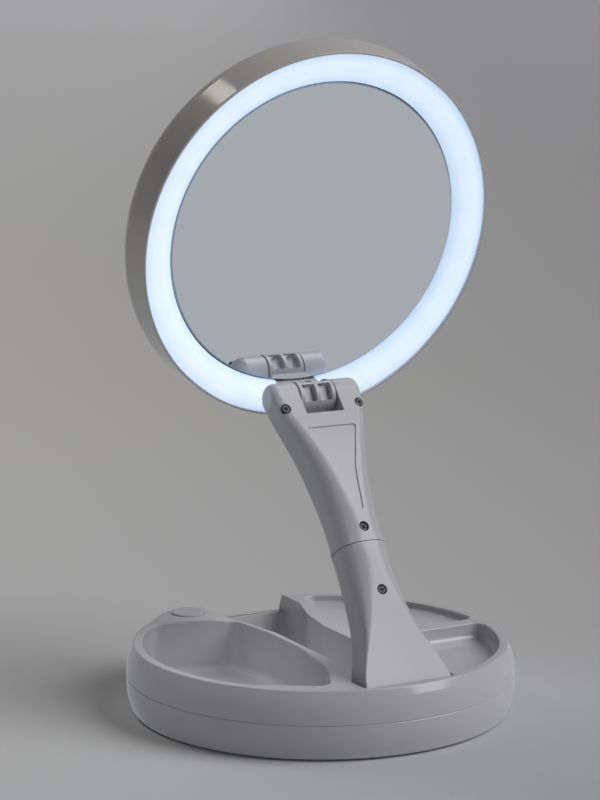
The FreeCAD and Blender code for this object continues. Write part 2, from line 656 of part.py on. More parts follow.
def on_tray_edge(edge):
    """Whether an edge is the upper edge of a tray."""
    if edge.BoundBox.ZMin < value("rim_height") - TOUCH:
        return False
    start, end = edge.ParameterRange
    middle = Part.Vertex(edge.valueAt((start + end) / 2))
    hollows = (left_hollow, dish_hollow, coin_hollow)
    return min(hollow.Shape.distToShape(middle)[0] for hollow in hollows) < TOUCH


upper_shell = rounded("base_upper_shell", upper_cut, "edge_round", on_tray_edge)

# Base lower shell: cup, battery bay, posts, foot seats and screw holes
LOWER_CUP = [
    ("0", "foot_height", None),
    ("bottom_radius", "foot_height", "bottom_round"),
    ("belly_radius - belly_draft", "waist_height", "wall_turn"),
    ("belly_radius", "seam_height - seam_line", None),
    ("belly_radius - seam_line", "seam_height", None),
    ("belly_radius - shell_wall", "seam_height", None),
    ("belly_radius - belly_draft - shell_wall", "waist_height", None),
    ("bottom_radius - shell_wall", "foot_height + deck", "bottom_round / 2"),
    ("0", "foot_height + deck", None),
]
lower_cup = turned("lower_cup", "XZ_Plane", LOWER_CUP)
BAY_LONG = "(cell_length + cell_nub + 2 * contact_thick + spring_length + cell_play)"
BAY_HALF = "(2 * cell_pitch + cell_play)"
BAY_TOP = "(cell_bottom + 2 * cell_radius + cell_play)"
bay_outside = box("bay_outside", "bay_start - bay_wall", f"-{BAY_HALF} - bay_wall",
                  "foot_height + deck / 2", f"{BAY_LONG} + 2 * bay_wall", f"2 * ({BAY_HALF} + bay_wall)",
                  f"{BAY_TOP} + bay_wall - foot_height - deck / 2")
bay_walls = common("bay_walls", bay_outside, cylinder("bay_reach", "bottom_radius - shell_wall / 2", ABOVE))
bay_inside = box("bay_inside", "bay_start", f"-{BAY_HALF}", "0", BAY_LONG, f"2 * {BAY_HALF}", BAY_TOP)
lower_posts = []
screw_heads = []
for number, (x, y) in enumerate(SCREWS):
    lower_posts.append(cylinder(f"lower_post_{number}", "screw_post", "post_meet - foot_height", x, y,
                                "foot_height"))
    screw_heads.append(cylinder(f"screw_seat_{number}", "screw_head + head_play",
                                "screw_sunk + screw_head_thick", x, y, "foot_height - screw_head_thick"))
for number, side in enumerate(("board_post_side", "-board_post_side")):
    x = f"{BUTTON_X} + {side} * cos(left_back_slope)"
    y = f"{BUTTON_Y} - {side} * sin(left_back_slope)"
    lower_posts.append(cylinder(f"board_post_{number}", "board_post",
                                f"{SWITCH_BOTTOM} - board_thick - foot_height", x, y, "foot_height"))
lower_solid = fuse("lower_solid", [lower_cup, bay_walls] + lower_posts)
FEET = [("foot_place", "foot_place"), ("-foot_place", "foot_place"), ("-foot_place", "-foot_place"),
        ("foot_place", "-foot_place")]
foot_seats = []
feet = []
for number, (x, y) in enumerate(FEET):
    foot_seats.append(cylinder(f"foot_seat_{number}", "foot_radius", "foot_sunk + foot_height", x, y))
    feet.append(cylinder(f"foot_{number}", "foot_radius", "foot_height + foot_sunk", x, y))
finger_ball = bind(doc.addObject("Part::Sphere", "finger_ball"), Radius="finger_radius")
place(finger_ball, f"bay_start + {BAY_LONG}", "0", "foot_height + finger_depth - finger_radius")
lower_shell = cut("base_lower_shell", lower_solid,
                  [bay_inside, finger_ball] + screw_heads + screw_bores + foot_seats)
foot_pads = group("foot_pads", feet)

# Base screws, from below
screws = []
for number, (x, y) in enumerate(SCREWS):
    head_low = "foot_height + screw_sunk - screw_head_thick"
    head = cylinder(f"base_screw_head_{number}", "screw_head", "screw_head_thick", x, y, head_low)
    shank = cylinder(f"base_screw_shank_{number}", "screw_shank", "screw_length", x, y, head_low)
    screws.append(fuse(f"base_screw_{number}", [head, shank]))
base_screws = group("base_screws", screws)

# Batteries, contacts and door
CELLS = 4
cells = []
contacts = []
for number in range(CELLS):
    y = f"(({number} - {(CELLS - 1) / 2}) * cell_pitch)"
    z = "(cell_bottom + cell_radius)"
    turned_round = number % 2
    inner = "(bay_start + contact_thick + cell_play / 4)"
    nub_first = f"{inner}" if turned_round else f"{inner} + spring_length"
    body_x = f"{inner} + cell_nub" if turned_round else f"{inner} + spring_length"
    nub_x = nub_first if turned_round else f"{inner} + spring_length + cell_length"
    body = cylinder(f"cell_body_{number}", "cell_radius", "cell_length", body_x, y, z, ALONG_X)
    nub = cylinder(f"cell_nub_{number}", "cell_nub_radius", "cell_nub", nub_x, y, z, ALONG_X)
    cells.append(fuse(f"cell_{number}", [body, nub]))
    far_x = f"bay_start + {BAY_LONG} - contact_thick"
    for end, plate_x in enumerate(("bay_start", far_x)):
        plate = box(f"contact_{number}_{end}", plate_x, f"{y} - contact_side / 2",
                    f"{z} - contact_side / 2", "contact_thick", "contact_side", "contact_side")
        sprung = (end == 0) != bool(turned_round)
        if not sprung:
            contacts.append(plate)
            continue
        spring_x = "bay_start + contact_thick" if end == 0 else f"{far_x} - spring_length"
        spring = cylinder(f"contact_spring_{number}", "spring_radius", "spring_length", spring_x, y, z,
                          ALONG_X)
        contacts.append(fuse(f"contact_sprung_{number}", [plate, spring]))
battery_cells = group("battery_cells", cells)
battery_contacts = group("battery_contacts", contacts)
battery_door = box("battery_door", "bay_start + door_gap", f"-{BAY_HALF} + door_gap", "foot_height",
                   f"{BAY_LONG} - 2 * door_gap", f"2 * ({BAY_HALF} - door_gap)", "door_thick")

# Power button, tact switch and control board
CAP_TOP = "(rim_height + hump_height + button_proud)"
BUTTON_PROFILE = [
    ("0", STEM_LOW, None),
    ("stem_radius", STEM_LOW, None),
    ("stem_radius", f"{FLANGE_TOP} - flange_thick", None),
    ("flange_radius", f"{FLANGE_TOP} - flange_thick", None),
    ("flange_radius", FLANGE_TOP, None),
    ("button_radius", FLANGE_TOP, None),
    ("button_radius", CAP_TOP, "button_dish"),
    ("button_flat", CAP_TOP, None),
    ("0", f"{CAP_TOP} - button_dish", None),
]
power_button = place(turned("power_button", "XZ_Plane", BUTTON_PROFILE), BUTTON_X, BUTTON_Y)
switch_body = box("switch_body", "-switch_side / 2", "-switch_side / 2", "0", "switch_side", "switch_side",
                  "switch_height")
plunger = cylinder("switch_plunger", "plunger_radius", "plunger_height", z="switch_height")
tact_switch = place(fuse("tact_switch", [switch_body, plunger]), BUTTON_X, BUTTON_Y, SWITCH_BOTTOM, UPRIGHT,
                    "90 - left_back_slope")
board_plate = box("board_plate", "-board_depth / 2", "-board_width / 2", "-board_thick", "board_depth",
                  "board_width", "board_thick")
control_board = place(group("control_board", [board_plate]), BUTTON_X, BUTTON_Y, SWITCH_BOTTOM, UPRIGHT,
                      "90 - left_back_slope")

# Lower hinge: pin and washers
arm_hinge_pin = cylinder("arm_hinge_pin", "pin_radius", f"2 * ({PIN_HALF} - pin_end)",
                         f"-({PIN_HALF}) + pin_end", "pivot_y", "pivot_z", ALONG_X)
washers = []
for number, start_x in enumerate(("foot_half + washer_gap", "-channel_foot + washer_gap")):
    ring = cylinder(f"washer_ring_{number}", "washer_radius", "channel_foot - foot_half - 2 * washer_gap",
                    start_x, "pivot_y", "pivot_z", ALONG_X)
    hole = cylinder(f"washer_hole_{number}", "pin_radius + pin_play", "channel_foot - foot_half", start_x,
                    "pivot_y", "pivot_z", ALONG_X)
    washers.append(cut(f"washer_{number}", ring, [hole]))
hinge_washers = group("hinge_washers", washers)

# Arm: every piece is drawn upright along the arm's line and then leaned back
ARM_Y = "pivot_y - pivot_back * cos(arm_lean)"
ARM_Z = "pivot_z + pivot_back * sin(arm_lean)"


def lean(item):
    """Lean a piece of the arm back to its place."""
    return place(item, y=ARM_Y, z=ARM_Z, axis=LEFTWARD, angle="arm_lean")


def arm_section(body, name, along, half, front, rear, corner, crease):
    """A rounded rectangle square to the arm, with crisper corners in front."""
    sketch = new_sketch(body, name, "XY_Plane", along)
    draw_outline(sketch, [
        (half, f"-({front})", crease),
        (half, rear, corner),
        (f"-({half})", rear, corner),
        (f"-({half})", f"-({front})", crease),
    ])
    return sketch


def arm_loft(name, sections):
    """A smooth limb through its sections."""
    body = new_body(name)
    sketches = [arm_section(body, f"{name}_{number}", *section) for number, section in enumerate(sections)]
    loft = body.newObject("PartDesign::AdditiveLoft", name + "_loft")
    loft.Profile = sketches[0]
    loft.Sections = sketches[1:]
    return body


def named_section(name):
    """The sizes of a named section."""
    return tuple(f"{name}_{part}" for part in ("along", "wide", "front", "rear", "corner", "crease"))


def neck_section(along):
    """The nearly round section at the swivel seam."""
    return along, "neck_half", "neck_half", "neck_half", "neck_round", "neck_round"


def arm_screw(name, x, along, front):
    """A screw in a counterbore on the arm's front, and its hole."""
    seat = f"-({front}) + screw_sunk"
    bore = cylinder(name + "_bore", "head_play + screw_head", "far", x, f"{seat} - far", along, ALONG_Y)
    pilot = cylinder(name + "_pilot", "screw_shank + screw_play",
                     f"arm_screw_end - ({seat}) + 2 * screw_play", x, f"{seat} - screw_play", along, ALONG_Y)
    top = f"{seat} - screw_head_thick"
    head = cylinder(name + "_head", "screw_head", "screw_head_thick", x, top, along, ALONG_Y)
    shank = cylinder(name + "_shank", "screw_shank", f"arm_screw_end - ({top})", x, top, along, ALONG_Y)
    return fuse(name, [head, shank]), [bore, pilot]


def halves(front_name, rear_name, form, tools):
    """A limb parted into its front and rear shells."""
    size = ("-far", "2 * far", "arm_length + far * 2")
    behind = box(form.Name + "_behind", size[0], "split_back", "-far", size[1], "far", size[2])
    before = box(form.Name + "_before", size[0], "split_back - far", "-far", size[1], "far", size[2])
    front = cut(front_name, form, [behind] + tools)
    rear = cut(rear_name, form, [before] + tools)
    return lean(front), lean(rear)


# Lower arm: foot, limb, hinge bore and the swivel's seat
lower_limb = arm_loft("lower_limb", [named_section(row[0]) for row in FOOT_SECTIONS]
                      + [neck_section("neck_seam - seam_gap / 2")])
foot_barrel = cylinder("foot_barrel_form", "foot_barrel", "2 * foot_half", "-foot_half", "pivot_back", "0",
                       ALONG_X)
lower_form = fuse("lower_form", [lower_limb, foot_barrel])
foot_bore = cylinder("foot_bore", "pin_radius + pin_play", "2 * far", "-far", "pivot_back", "0", ALONG_X)
washer_ways = []
for number, start_x in enumerate(("foot_half", "-foot_half - far")):
    washer_ways.append(cylinder(f"washer_way_{number}", "washer_radius + foot_clear", "far", start_x,
                                "pivot_back", "0", ALONG_X))
swivel_bore = cylinder("swivel_bore", "spindle_radius + pin_play", "far", z="neck_seam - spindle_down")
RING_LOW = "(neck_seam - spindle_down)"
ring_pocket = cylinder("ring_pocket", "ring_radius + ring_clear", "ring_thick + 2 * ring_clear",
                       z=f"{RING_LOW} - ring_clear")
low_screw, low_holes = arm_screw("low_screw_solid", "0", "low_screw", "stem_front")
lower_arm_front, lower_arm_rear = halves("lower_arm_front", "lower_arm_rear", lower_form,
                                         [foot_bore, swivel_bore, ring_pocket] + washer_ways + low_holes)
lower_arm_screw = lean(group("lower_arm_screw", [low_screw]))

# Upper arm: limb, fork, hinge bore and the spindle's socket
UPPER_SECTIONS = [neck_section("neck_seam + seam_gap / 2")]
UPPER_SECTIONS += [named_section(row[0]) for row in FORK_SECTIONS]
EAR_DEPTH = "ear_radius - ear_sink"
UPPER_SECTIONS += [("arm_length", "fork_half - ear_sink", EAR_DEPTH, EAR_DEPTH, "ear_round", "ear_round")]
upper_limb = arm_loft("upper_limb", UPPER_SECTIONS)
sunk_limb = arm_loft("sunk_limb", [(along, half, f"{front} - panel_depth", rear, corner, crease)
                                   for along, half, front, rear, corner, crease in UPPER_SECTIONS])
PANEL = mirrored([
    ("panel_low_wide", "panel_low", "panel_corner"),
    ("panel_elbow_wide", "panel_elbow", "panel_sweep"),
    ("panel_wide", "panel_top", "panel_corner"),
])
panel_plan = new_sketch(new_body("panel"), "panel_plan", "XZ_Plane")
draw_outline(panel_plan, PANEL)
panel_way = bind(doc.addObject("Part::Extrusion", "panel_way"), LengthFwd="far")
panel_way.Base = panel_plan
panel_way.DirMode = "Custom"
panel_way.Dir = Vector(0, -1, 0)
panel_way.Solid = True
panel_cut = cut("panel_cut", panel_way, [sunk_limb])
EAR_PROFILE = [
    ("0", "-fork_half", None),
    ("ear_radius", "-fork_half", "ear_round"),
    ("ear_radius", "fork_half", "ear_round"),
    ("0", "fork_half", None),
]
ears = place(turned("ears", "XY_Plane", EAR_PROFILE), z="arm_length", axis=Vector(0, 0, 1), angle="90")
upper_form = fuse("upper_form", [upper_limb, ears])
fork_gap = box("fork_gap", "-fork_notch", "-far", "arm_length - notch_depth", "2 * fork_notch", "2 * far",
               "far")
EAR_PIN_HALF = "(fork_notch + pin_in_ear)"
ear_bore = cylinder("ear_bore", "pin_radius + pin_play", f"2 * {EAR_PIN_HALF}", f"-{EAR_PIN_HALF}", "0",
                    "arm_length", ALONG_X)
spindle_socket = cylinder("spindle_socket", "spindle_radius + pin_play", "spindle_up + 2 * pin_play",
                          z="neck_seam")
mid_screw, mid_holes = arm_screw("mid_screw_solid", "0", "mid_screw", "neck_half")
right_screw, right_holes = arm_screw("right_screw_solid", "ear_screw_x", "ear_screw", "ear_front")
left_screw, left_holes = arm_screw("left_screw_solid", "-ear_screw_x", "ear_screw", "ear_front")
upper_ways = [panel_cut, fork_gap, ear_bore, spindle_socket] + mid_holes + right_holes + left_holes
upper_arm_front, upper_arm_rear = halves("upper_arm_front", "upper_arm_rear", upper_form, upper_ways)
upper_arm_screws = lean(group("upper_arm_screws", [mid_screw, right_screw, left_screw]))

# Swivel: a hollow spindle and the ring that holds it
spindle_rod = cylinder("spindle_rod", "spindle_radius", "spindle_up + spindle_down", z=RING_LOW)
spindle_hole = cylinder("spindle_hole", "spindle_bore", "spindle_up + spindle_down", z=RING_LOW)
spindle_screw_way = cylinder("spindle_screw_way", "screw_shank + 2 * screw_play", "2 * far", "0", "-far",
                             "mid_screw", ALONG_Y)
spindle_tube = cut("spindle_tube", spindle_rod, [spindle_hole, spindle_screw_way])
swivel_spindle = lean(group("swivel_spindle", [spindle_tube]))
ring_disc = cylinder("ring_disc", "ring_radius", "ring_thick", z=RING_LOW)
ring_hole = cylinder("ring_hole", "spindle_radius", "ring_thick", z=RING_LOW)
ring_cut = cut("ring_cut", ring_disc, [ring_hole])
swivel_ring = lean(group("swivel_ring", [ring_cut]))

# Upper hinge pin
tilt_pin = cylinder("tilt_pin", "pin_radius", f"2 * ({EAR_PIN_HALF} - pin_end)",
                    f"-{EAR_PIN_HALF} + pin_end", "0", "arm_length", ALONG_X)
tilt_hinge_pin = lean(group("tilt_hinge_pin", [tilt_pin]))

# Head: every piece is drawn facing the front about the ring's centre and then tipped forward
HINGE_Y = f"({ARM_Y} + arm_length * sin(arm_lean))"
HINGE_Z = f"({ARM_Z} + arm_length * cos(arm_lean))"
HEAD_Y = f"{HINGE_Y} + hinge_front * cos(head_tilt) - hinge_drop * sin(head_tilt)"
HEAD_Z = f"{HINGE_Z} + hinge_front * sin(head_tilt) + hinge_drop * cos(head_tilt)"


def tip(item):
    """Tip a piece of the head forward to its place."""
    return place(item, y=HEAD_Y, z=HEAD_Z, axis=Vector(1, 0, 0), angle="head_tilt")


# Lit ring, with a notch for the tongue
DIFFUSER = [
    ("ring_inner", "ring_set", None),
    ("(ring_inner + ring_outer) / 2", "ring_face", "ring_crown"),
    ("ring_outer", "ring_edge", None),
    ("ring_outer", "ring_edge + ring_wall", None),
    ("(ring_inner + ring_outer) / 2", "ring_face + ring_wall", "ring_crown"),
    ("ring_inner", "ring_set + ring_wall", None),
]
TONGUE_TOP = "(glass_radius + tongue_gap)"
TONGUE_LOW = f"({TONGUE_TOP} + tongue_thick)"
ring_form = turned("ring_form", "XY_Plane", DIFFUSER)
tongue_way = box("tongue_way", "-tongue_half - tongue_gap", "-far", f"-{TONGUE_LOW} - tongue_gap",
                 "2 * (tongue_half + tongue_gap)", "2 * far", f"{TONGUE_LOW} + tongue_gap")
light_diffuser = tip(cut("light_diffuser", ring_form, [tongue_way]))

# Mirror glass with a ground edge
GLASS = [
    ("0", "glass_set", None),
    ("glass_radius", "glass_set", "glass_bevel"),
    ("glass_radius", "glass_set + glass_thick", None),
    ("0", "glass_set + glass_thick", None),
]
mirror_glass = tip(turned("mirror_glass", "XY_Plane", GLASS))

# Mirror carrier: a plate behind the glass, a collar and an outer plate for the lamps
PLATE_FRONT = "(glass_set + glass_thick)"
CARRIER = [
    ("0", PLATE_FRONT, None),
    ("ring_inner", PLATE_FRONT, None),
    ("ring_inner", "ring_set + ring_wall", None),
    ("ring_inner + collar_wall", "ring_set + ring_wall", None),
    ("ring_inner + collar_wall", "carrier_set", None),
    ("carrier_radius", "carrier_set", None),
    ("carrier_radius", "carrier_set + carrier_wall", None),
    ("ring_inner", "carrier_set + carrier_wall", None),
    ("ring_inner - collar_wall", f"{PLATE_FRONT} + carrier_wall", None),
    ("0", f"{PLATE_FRONT} + carrier_wall", None),
]
carrier_form = turned("carrier_form", "XY_Plane", CARRIER)
collar_way = box("collar_way", "-flange_half - tongue_gap", "-far",
                 f"-{TONGUE_TOP} - flange_drop - tongue_gap", "2 * (flange_half + tongue_gap)",
                 "far + carrier_set",
                 f"{TONGUE_TOP} + flange_drop + tongue_gap - glass_radius + collar_wall")
mirror_carrier = tip(cut("mirror_carrier", carrier_form, [collar_way]))

# Lamp board and lamps
BOARD = [
    ("led_place - led_band", "carrier_set - board_thick", None),
    ("led_place + led_band", "carrier_set - board_thick", None),
    ("led_place + led_band", "carrier_set", None),
    ("led_place - led_band", "carrier_set", None),
]
board_form = turned("board_form", "XY_Plane", BOARD)
board_way = box("board_way", "-flange_half - tongue_gap", "-far", "-case_radius",
                "2 * (flange_half + tongue_gap)", "2 * far", "case_radius")
led_board = tip(cut("led_board", board_form, [board_way]))
lamps = []
for number in range(int(value("led_count"))):
    turn = f"(({number} + 0.5) * 360 / led_count)"
    lamp = box(f"lamp_{number}", "-led_side / 2", "-led_thick", "-led_side / 2", "led_side", "led_thick",
               "led_side")
    lamps.append(place(group(f"lamp_at_{number}", [lamp]), f"led_place * sin({turn})",
                       "carrier_set - board_thick", f"-led_place * cos({turn})", ALONG_X, f"-{turn}"))
led_lamps = tip(group("led_lamps", lamps[1:-1]))

# Casing: bezel with a lip and a shelf, and a domed back cover
BEZEL = [
    ("ring_outer + case_gap", "-case_lip", None),
    ("case_front", "-case_lip", "case_lip_round"),
    ("case_radius", "case_seam", None),
    ("case_radius - case_wall", "case_seam", None),
    ("case_front - case_gap", "shelf_back", None),
    ("shelf_inner", "shelf_back", None),
    ("shelf_inner", "ring_edge + ring_wall + case_gap / 2", None),
    ("ring_outer + case_gap", "ring_edge + ring_wall + case_gap / 2", None),
]
head_bezel = tip(turned("head_bezel", "XY_Plane", BEZEL))
COVER = [
    ("0", "case_depth + case_crown", None),
    ("case_radius / 2", "case_depth + case_rise", "case_dome"),
    ("case_radius - case_draft", "case_depth - case_crown", "case_round"),
    ("case_radius", "case_seam", None),
    ("case_radius - case_wall", "case_seam", None),
    ("case_radius - case_draft - case_wall", "case_depth - case_crown - case_wall",
     "case_round - case_wall"),
    ("case_radius / 2", "case_depth + case_rise - case_wall", "case_dome - case_wall"),
    ("0", "case_depth + case_crown - case_wall", None),
]
head_back_cover = tip(turned("head_back_cover", "XY_Plane", COVER))

# Hinge bracket: cored knuckle, tongue and flange
KNUCKLE = [
    ("0", "-barrel_half", None),
    ("barrel_radius", "-barrel_half", None),
    ("barrel_radius", "barrel_half", None),
    ("0", "barrel_half", None),
]
knuckle = place(turned("knuckle", "XY_Plane", KNUCKLE), y="-hinge_front", z="-hinge_drop", axis=UPRIGHT,
                angle="90")
tongue = box("tongue", "-barrel_half", "-hinge_front", f"-{TONGUE_LOW}", "2 * barrel_half",
             "hinge_front + carrier_set", "tongue_thick")
wide_tongue = box("wide_tongue", "-tongue_half", "-tongue_gap", f"-{TONGUE_LOW}", "2 * tongue_half",
                  "tongue_gap + carrier_set", "tongue_thick")
bracket_flange = box("bracket_flange", "-flange_half", "carrier_set - flange_plate",
                     f"-{TONGUE_TOP} - flange_drop", "2 * flange_half", "flange_plate", "flange_drop")
bracket_solid = fuse("bracket_solid", [knuckle, tongue, wide_tongue, bracket_flange])
knuckle_bore = cylinder("knuckle_bore", "pin_radius + pin_play", "2 * far", "-far", "-hinge_front",
                        "-hinge_drop", ALONG_X)
pockets = []
for number, start_x in enumerate(("-barrel_half + barrel_rib", "barrel_rib / 2")):
    for side, turn in (("front", "pocket_front"), ("back", "pocket_back")):
        pocket = box(f"pocket_{side}_{number}", start_x, "-far", "-pocket_high / 2",
                     "barrel_half - barrel_rib * 1.5", "far - pocket_floor", "pocket_high")
        pockets.append(place(group(f"pocket_{side}_at_{number}", [pocket]), y="-hinge_front", z="-hinge_drop",
                             axis=LEFTWARD, angle=turn))
BRACKET_SCREWS = ("flange_half - screw_head - tongue_gap", "-flange_half + screw_head + tongue_gap")
SCREW_ROW = f"-{TONGUE_LOW} - (flange_drop - tongue_thick) / 2"
bracket_holes = []
bracket_pieces = []
for number, x in enumerate(BRACKET_SCREWS):
    front = "carrier_set - flange_plate"
    bracket_holes.append(cylinder(f"bracket_hole_{number}", "screw_shank + screw_play", "flange_plate", x,
                                  front, SCREW_ROW, ALONG_Y))
    top = f"{front} - screw_head_thick"
    head = cylinder(f"bracket_head_{number}", "screw_head", "screw_head_thick", x, top, SCREW_ROW, ALONG_Y)
    shank = cylinder(f"bracket_shank_{number}", "screw_shank", "flange_plate + screw_head_thick", x, top,
                     SCREW_ROW, ALONG_Y)
    bracket_pieces.append(fuse(f"bracket_screw_{number}", [head, shank]))
hinge_bracket = tip(cut("hinge_bracket", bracket_solid, [knuckle_bore] + pockets + bracket_holes))
bracket_screws = tip(group("bracket_screws", bracket_pieces))

# Check every object, then write one file for each piece
NODES = [
    upper_shell, lower_shell, base_screws, foot_pads, battery_cells, battery_contacts, battery_door,
    power_button, tact_switch, control_board, arm_hinge_pin, hinge_washers, lower_arm_front,
    lower_arm_rear, lower_arm_screw, upper_arm_front, upper_arm_rear, upper_arm_screws, swivel_spindle,
    swivel_ring, tilt_hinge_pin, light_diffuser, mirror_glass, mirror_carrier, led_board, led_lamps,
    head_bezel, head_back_cover, hinge_bracket, bracket_screws,
]
doc.recompute()
faults = [item.Name for item in doc.Objects if "Invalid" in item.State or "Error" in item.State]
for item in NODES:
    if item.Shape.isNull() or not item.Shape.isValid():
        faults.append(item.Name)
if faults:
    raise RuntimeError("failed: " + ", ".join(faults))
os.makedirs("parts", exist_ok=True)
for item in NODES:
    item.Shape.exportStep(f"parts/{item.Label}.step")
    print(item.Label, len(item.Shape.Solids), round(item.Shape.Volume), item.Shape.BoundBox)
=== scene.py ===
"""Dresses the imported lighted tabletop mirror: finishes, detail pieces, studio and camera."""

import logging
import math
from collections.abc import Callable
from dataclasses import dataclass
from enum import Enum
from typing import Any

import bmesh
import bpy
from mathutils import Matrix, Vector


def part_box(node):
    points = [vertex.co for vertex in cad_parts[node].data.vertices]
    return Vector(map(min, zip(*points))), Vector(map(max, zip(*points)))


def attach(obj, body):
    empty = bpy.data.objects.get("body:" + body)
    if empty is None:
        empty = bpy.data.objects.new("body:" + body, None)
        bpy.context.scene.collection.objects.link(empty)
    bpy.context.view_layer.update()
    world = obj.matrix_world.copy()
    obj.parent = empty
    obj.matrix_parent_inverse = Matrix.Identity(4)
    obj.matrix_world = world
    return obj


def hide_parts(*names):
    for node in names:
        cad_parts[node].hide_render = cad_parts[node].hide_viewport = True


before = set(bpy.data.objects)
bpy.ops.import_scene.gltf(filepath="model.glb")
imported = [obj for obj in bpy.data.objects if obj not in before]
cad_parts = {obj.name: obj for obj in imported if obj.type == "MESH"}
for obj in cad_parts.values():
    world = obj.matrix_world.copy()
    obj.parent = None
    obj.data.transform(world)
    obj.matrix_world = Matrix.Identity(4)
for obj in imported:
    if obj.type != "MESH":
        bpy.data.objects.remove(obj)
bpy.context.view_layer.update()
LOG = logging.getLogger("tabletop_mirror")
MM = 0.001
# The range that a noise mostly keeps to
NOISE_LOW = 0.3
NOISE_HIGH = 0.7
# How well a face has to look the asked way, as a cosine
FACE_MATCH = 0.99
# Edges sharper than this are rounded, and faces that meet below the next angle are shaded as one
SHARP_EDGE = math.radians(40.0)
SMOOTH_BELOW = math.radians(35.0)
# Points closer than this lie in one plane
NEAR = 0.01 * MM


class Body(Enum):
    """The moving bodies that pieces ride on."""

    BASE = "base"
    DOOR = "battery_door"
    LOWER_ARM = "lower_arm"
    UPPER_ARM = "upper_arm"


class Facing(Enum):
    """The way a face of a piece looks."""

    UP = (0.0, 0.0, 1.0)
    DOWN = (0.0, 0.0, -1.0)


def linear(code: str) -> tuple[float, float, float, float]:
    """Turn an sRGB hex colour to linear.

    Args:
        code: the colour as #rrggbb.
    Returns:
        Linear red, green, blue and an alpha of one.
    """
    parts = [int(code[start:start + 2], 16) / 255 for start in (1, 3, 5)]
    curve = [part / 12.92 if part <= 0.04045 else ((part + 0.055) / 1.055) ** 2.4 for part in parts]
    return curve[0], curve[1], curve[2], 1.0


def add_node(tree: bpy.types.NodeTree, kind: str, settings: dict[str, Any] | None = None,
             inputs: dict[Any, Any] | None = None) -> bpy.types.Node:
    """Add a node with its settings and links.

    Args:
        tree: the node tree.
        kind: the node's type name.
        settings: attributes of the node.
        inputs: values or sockets for the node's inputs, by name or number.
    Returns:
        The new node.
    """
    node = tree.nodes.new(kind)
    for name, setting in (settings or {}).items():
        setattr(node, name, setting)
    for name, given in (inputs or {}).items():
        if isinstance(given, bpy.types.NodeSocket):
            tree.links.new(given, node.inputs[name])
        else:
            node.inputs[name].default_value = given
    return node


def new_material(name: str) -> tuple[bpy.types.Material, bpy.types.NodeTree, bpy.types.Node]:
    """Make an empty node material.

    Args:
        name: the material's name.
    Returns:
        The material, its tree and its principled shader, already linked to the output.
    """
    material = bpy.data.materials.new(name)
    material.use_nodes = True
    tree = material.node_tree
    tree.nodes.clear()
    shader = add_node(tree, "ShaderNodeBsdfPrincipled")
    add_node(tree, "ShaderNodeOutputMaterial", inputs={"Surface": shader.outputs["BSDF"]})
    return material, tree, shader


@dataclass(frozen=True)
class MouldedPlastic:
    """An injection moulded plastic: faint flow marks, a fine tool grain and an uneven gloss."""

    name: str
    colour: str
    flow_colour: str
    roughness: float
    gloss_spread: float = 0.06
    flow_mm: float = 38.0
    flow_detail: float = 3.0
    flow_swirl: float = 0.6
    grain_mm: float = 0.9
    grain_detail: float = 2.0
    grain_depth_mm: float = 0.01
    grain_strength: float = 0.5
    ior: float = 1.52

    def material(self) -> bpy.types.Material:
        """Build the finish.

        Returns:
            The node material.
        """
        material, tree, shader = new_material(self.name)
        place = add_node(tree, "ShaderNodeTexCoord").outputs["Object"]
        flow = add_node(tree, "ShaderNodeTexNoise", inputs={
            "Vector": place, "Scale": 1 / (self.flow_mm * MM), "Detail": self.flow_detail,
            "Distortion": self.flow_swirl})
        tint = add_node(tree, "ShaderNodeMix", {"data_type": "RGBA"}, {
            0: flow.outputs["Fac"], 6: linear(self.colour), 7: linear(self.flow_colour)})
        gloss = add_node(tree, "ShaderNodeMapRange", inputs={
            "Value": flow.outputs["Fac"], "From Min": NOISE_LOW, "From Max": NOISE_HIGH,
            "To Min": self.roughness - self.gloss_spread / 2,
            "To Max": self.roughness + self.gloss_spread / 2})
        grain = add_node(tree, "ShaderNodeTexNoise", inputs={
            "Vector": place, "Scale": 1 / (self.grain_mm * MM), "Detail": self.grain_detail})
        relief = add_node(tree, "ShaderNodeBump", inputs={
            "Height": grain.outputs["Fac"], "Distance": self.grain_depth_mm * MM,
            "Strength": self.grain_strength})
        tree.links.new(tint.outputs[2], shader.inputs["Base Color"])
        tree.links.new(gloss.outputs["Result"], shader.inputs["Roughness"])
        tree.links.new(relief.outputs["Normal"], shader.inputs["Normal"])
        shader.inputs["IOR"].default_value = self.ior
        return material


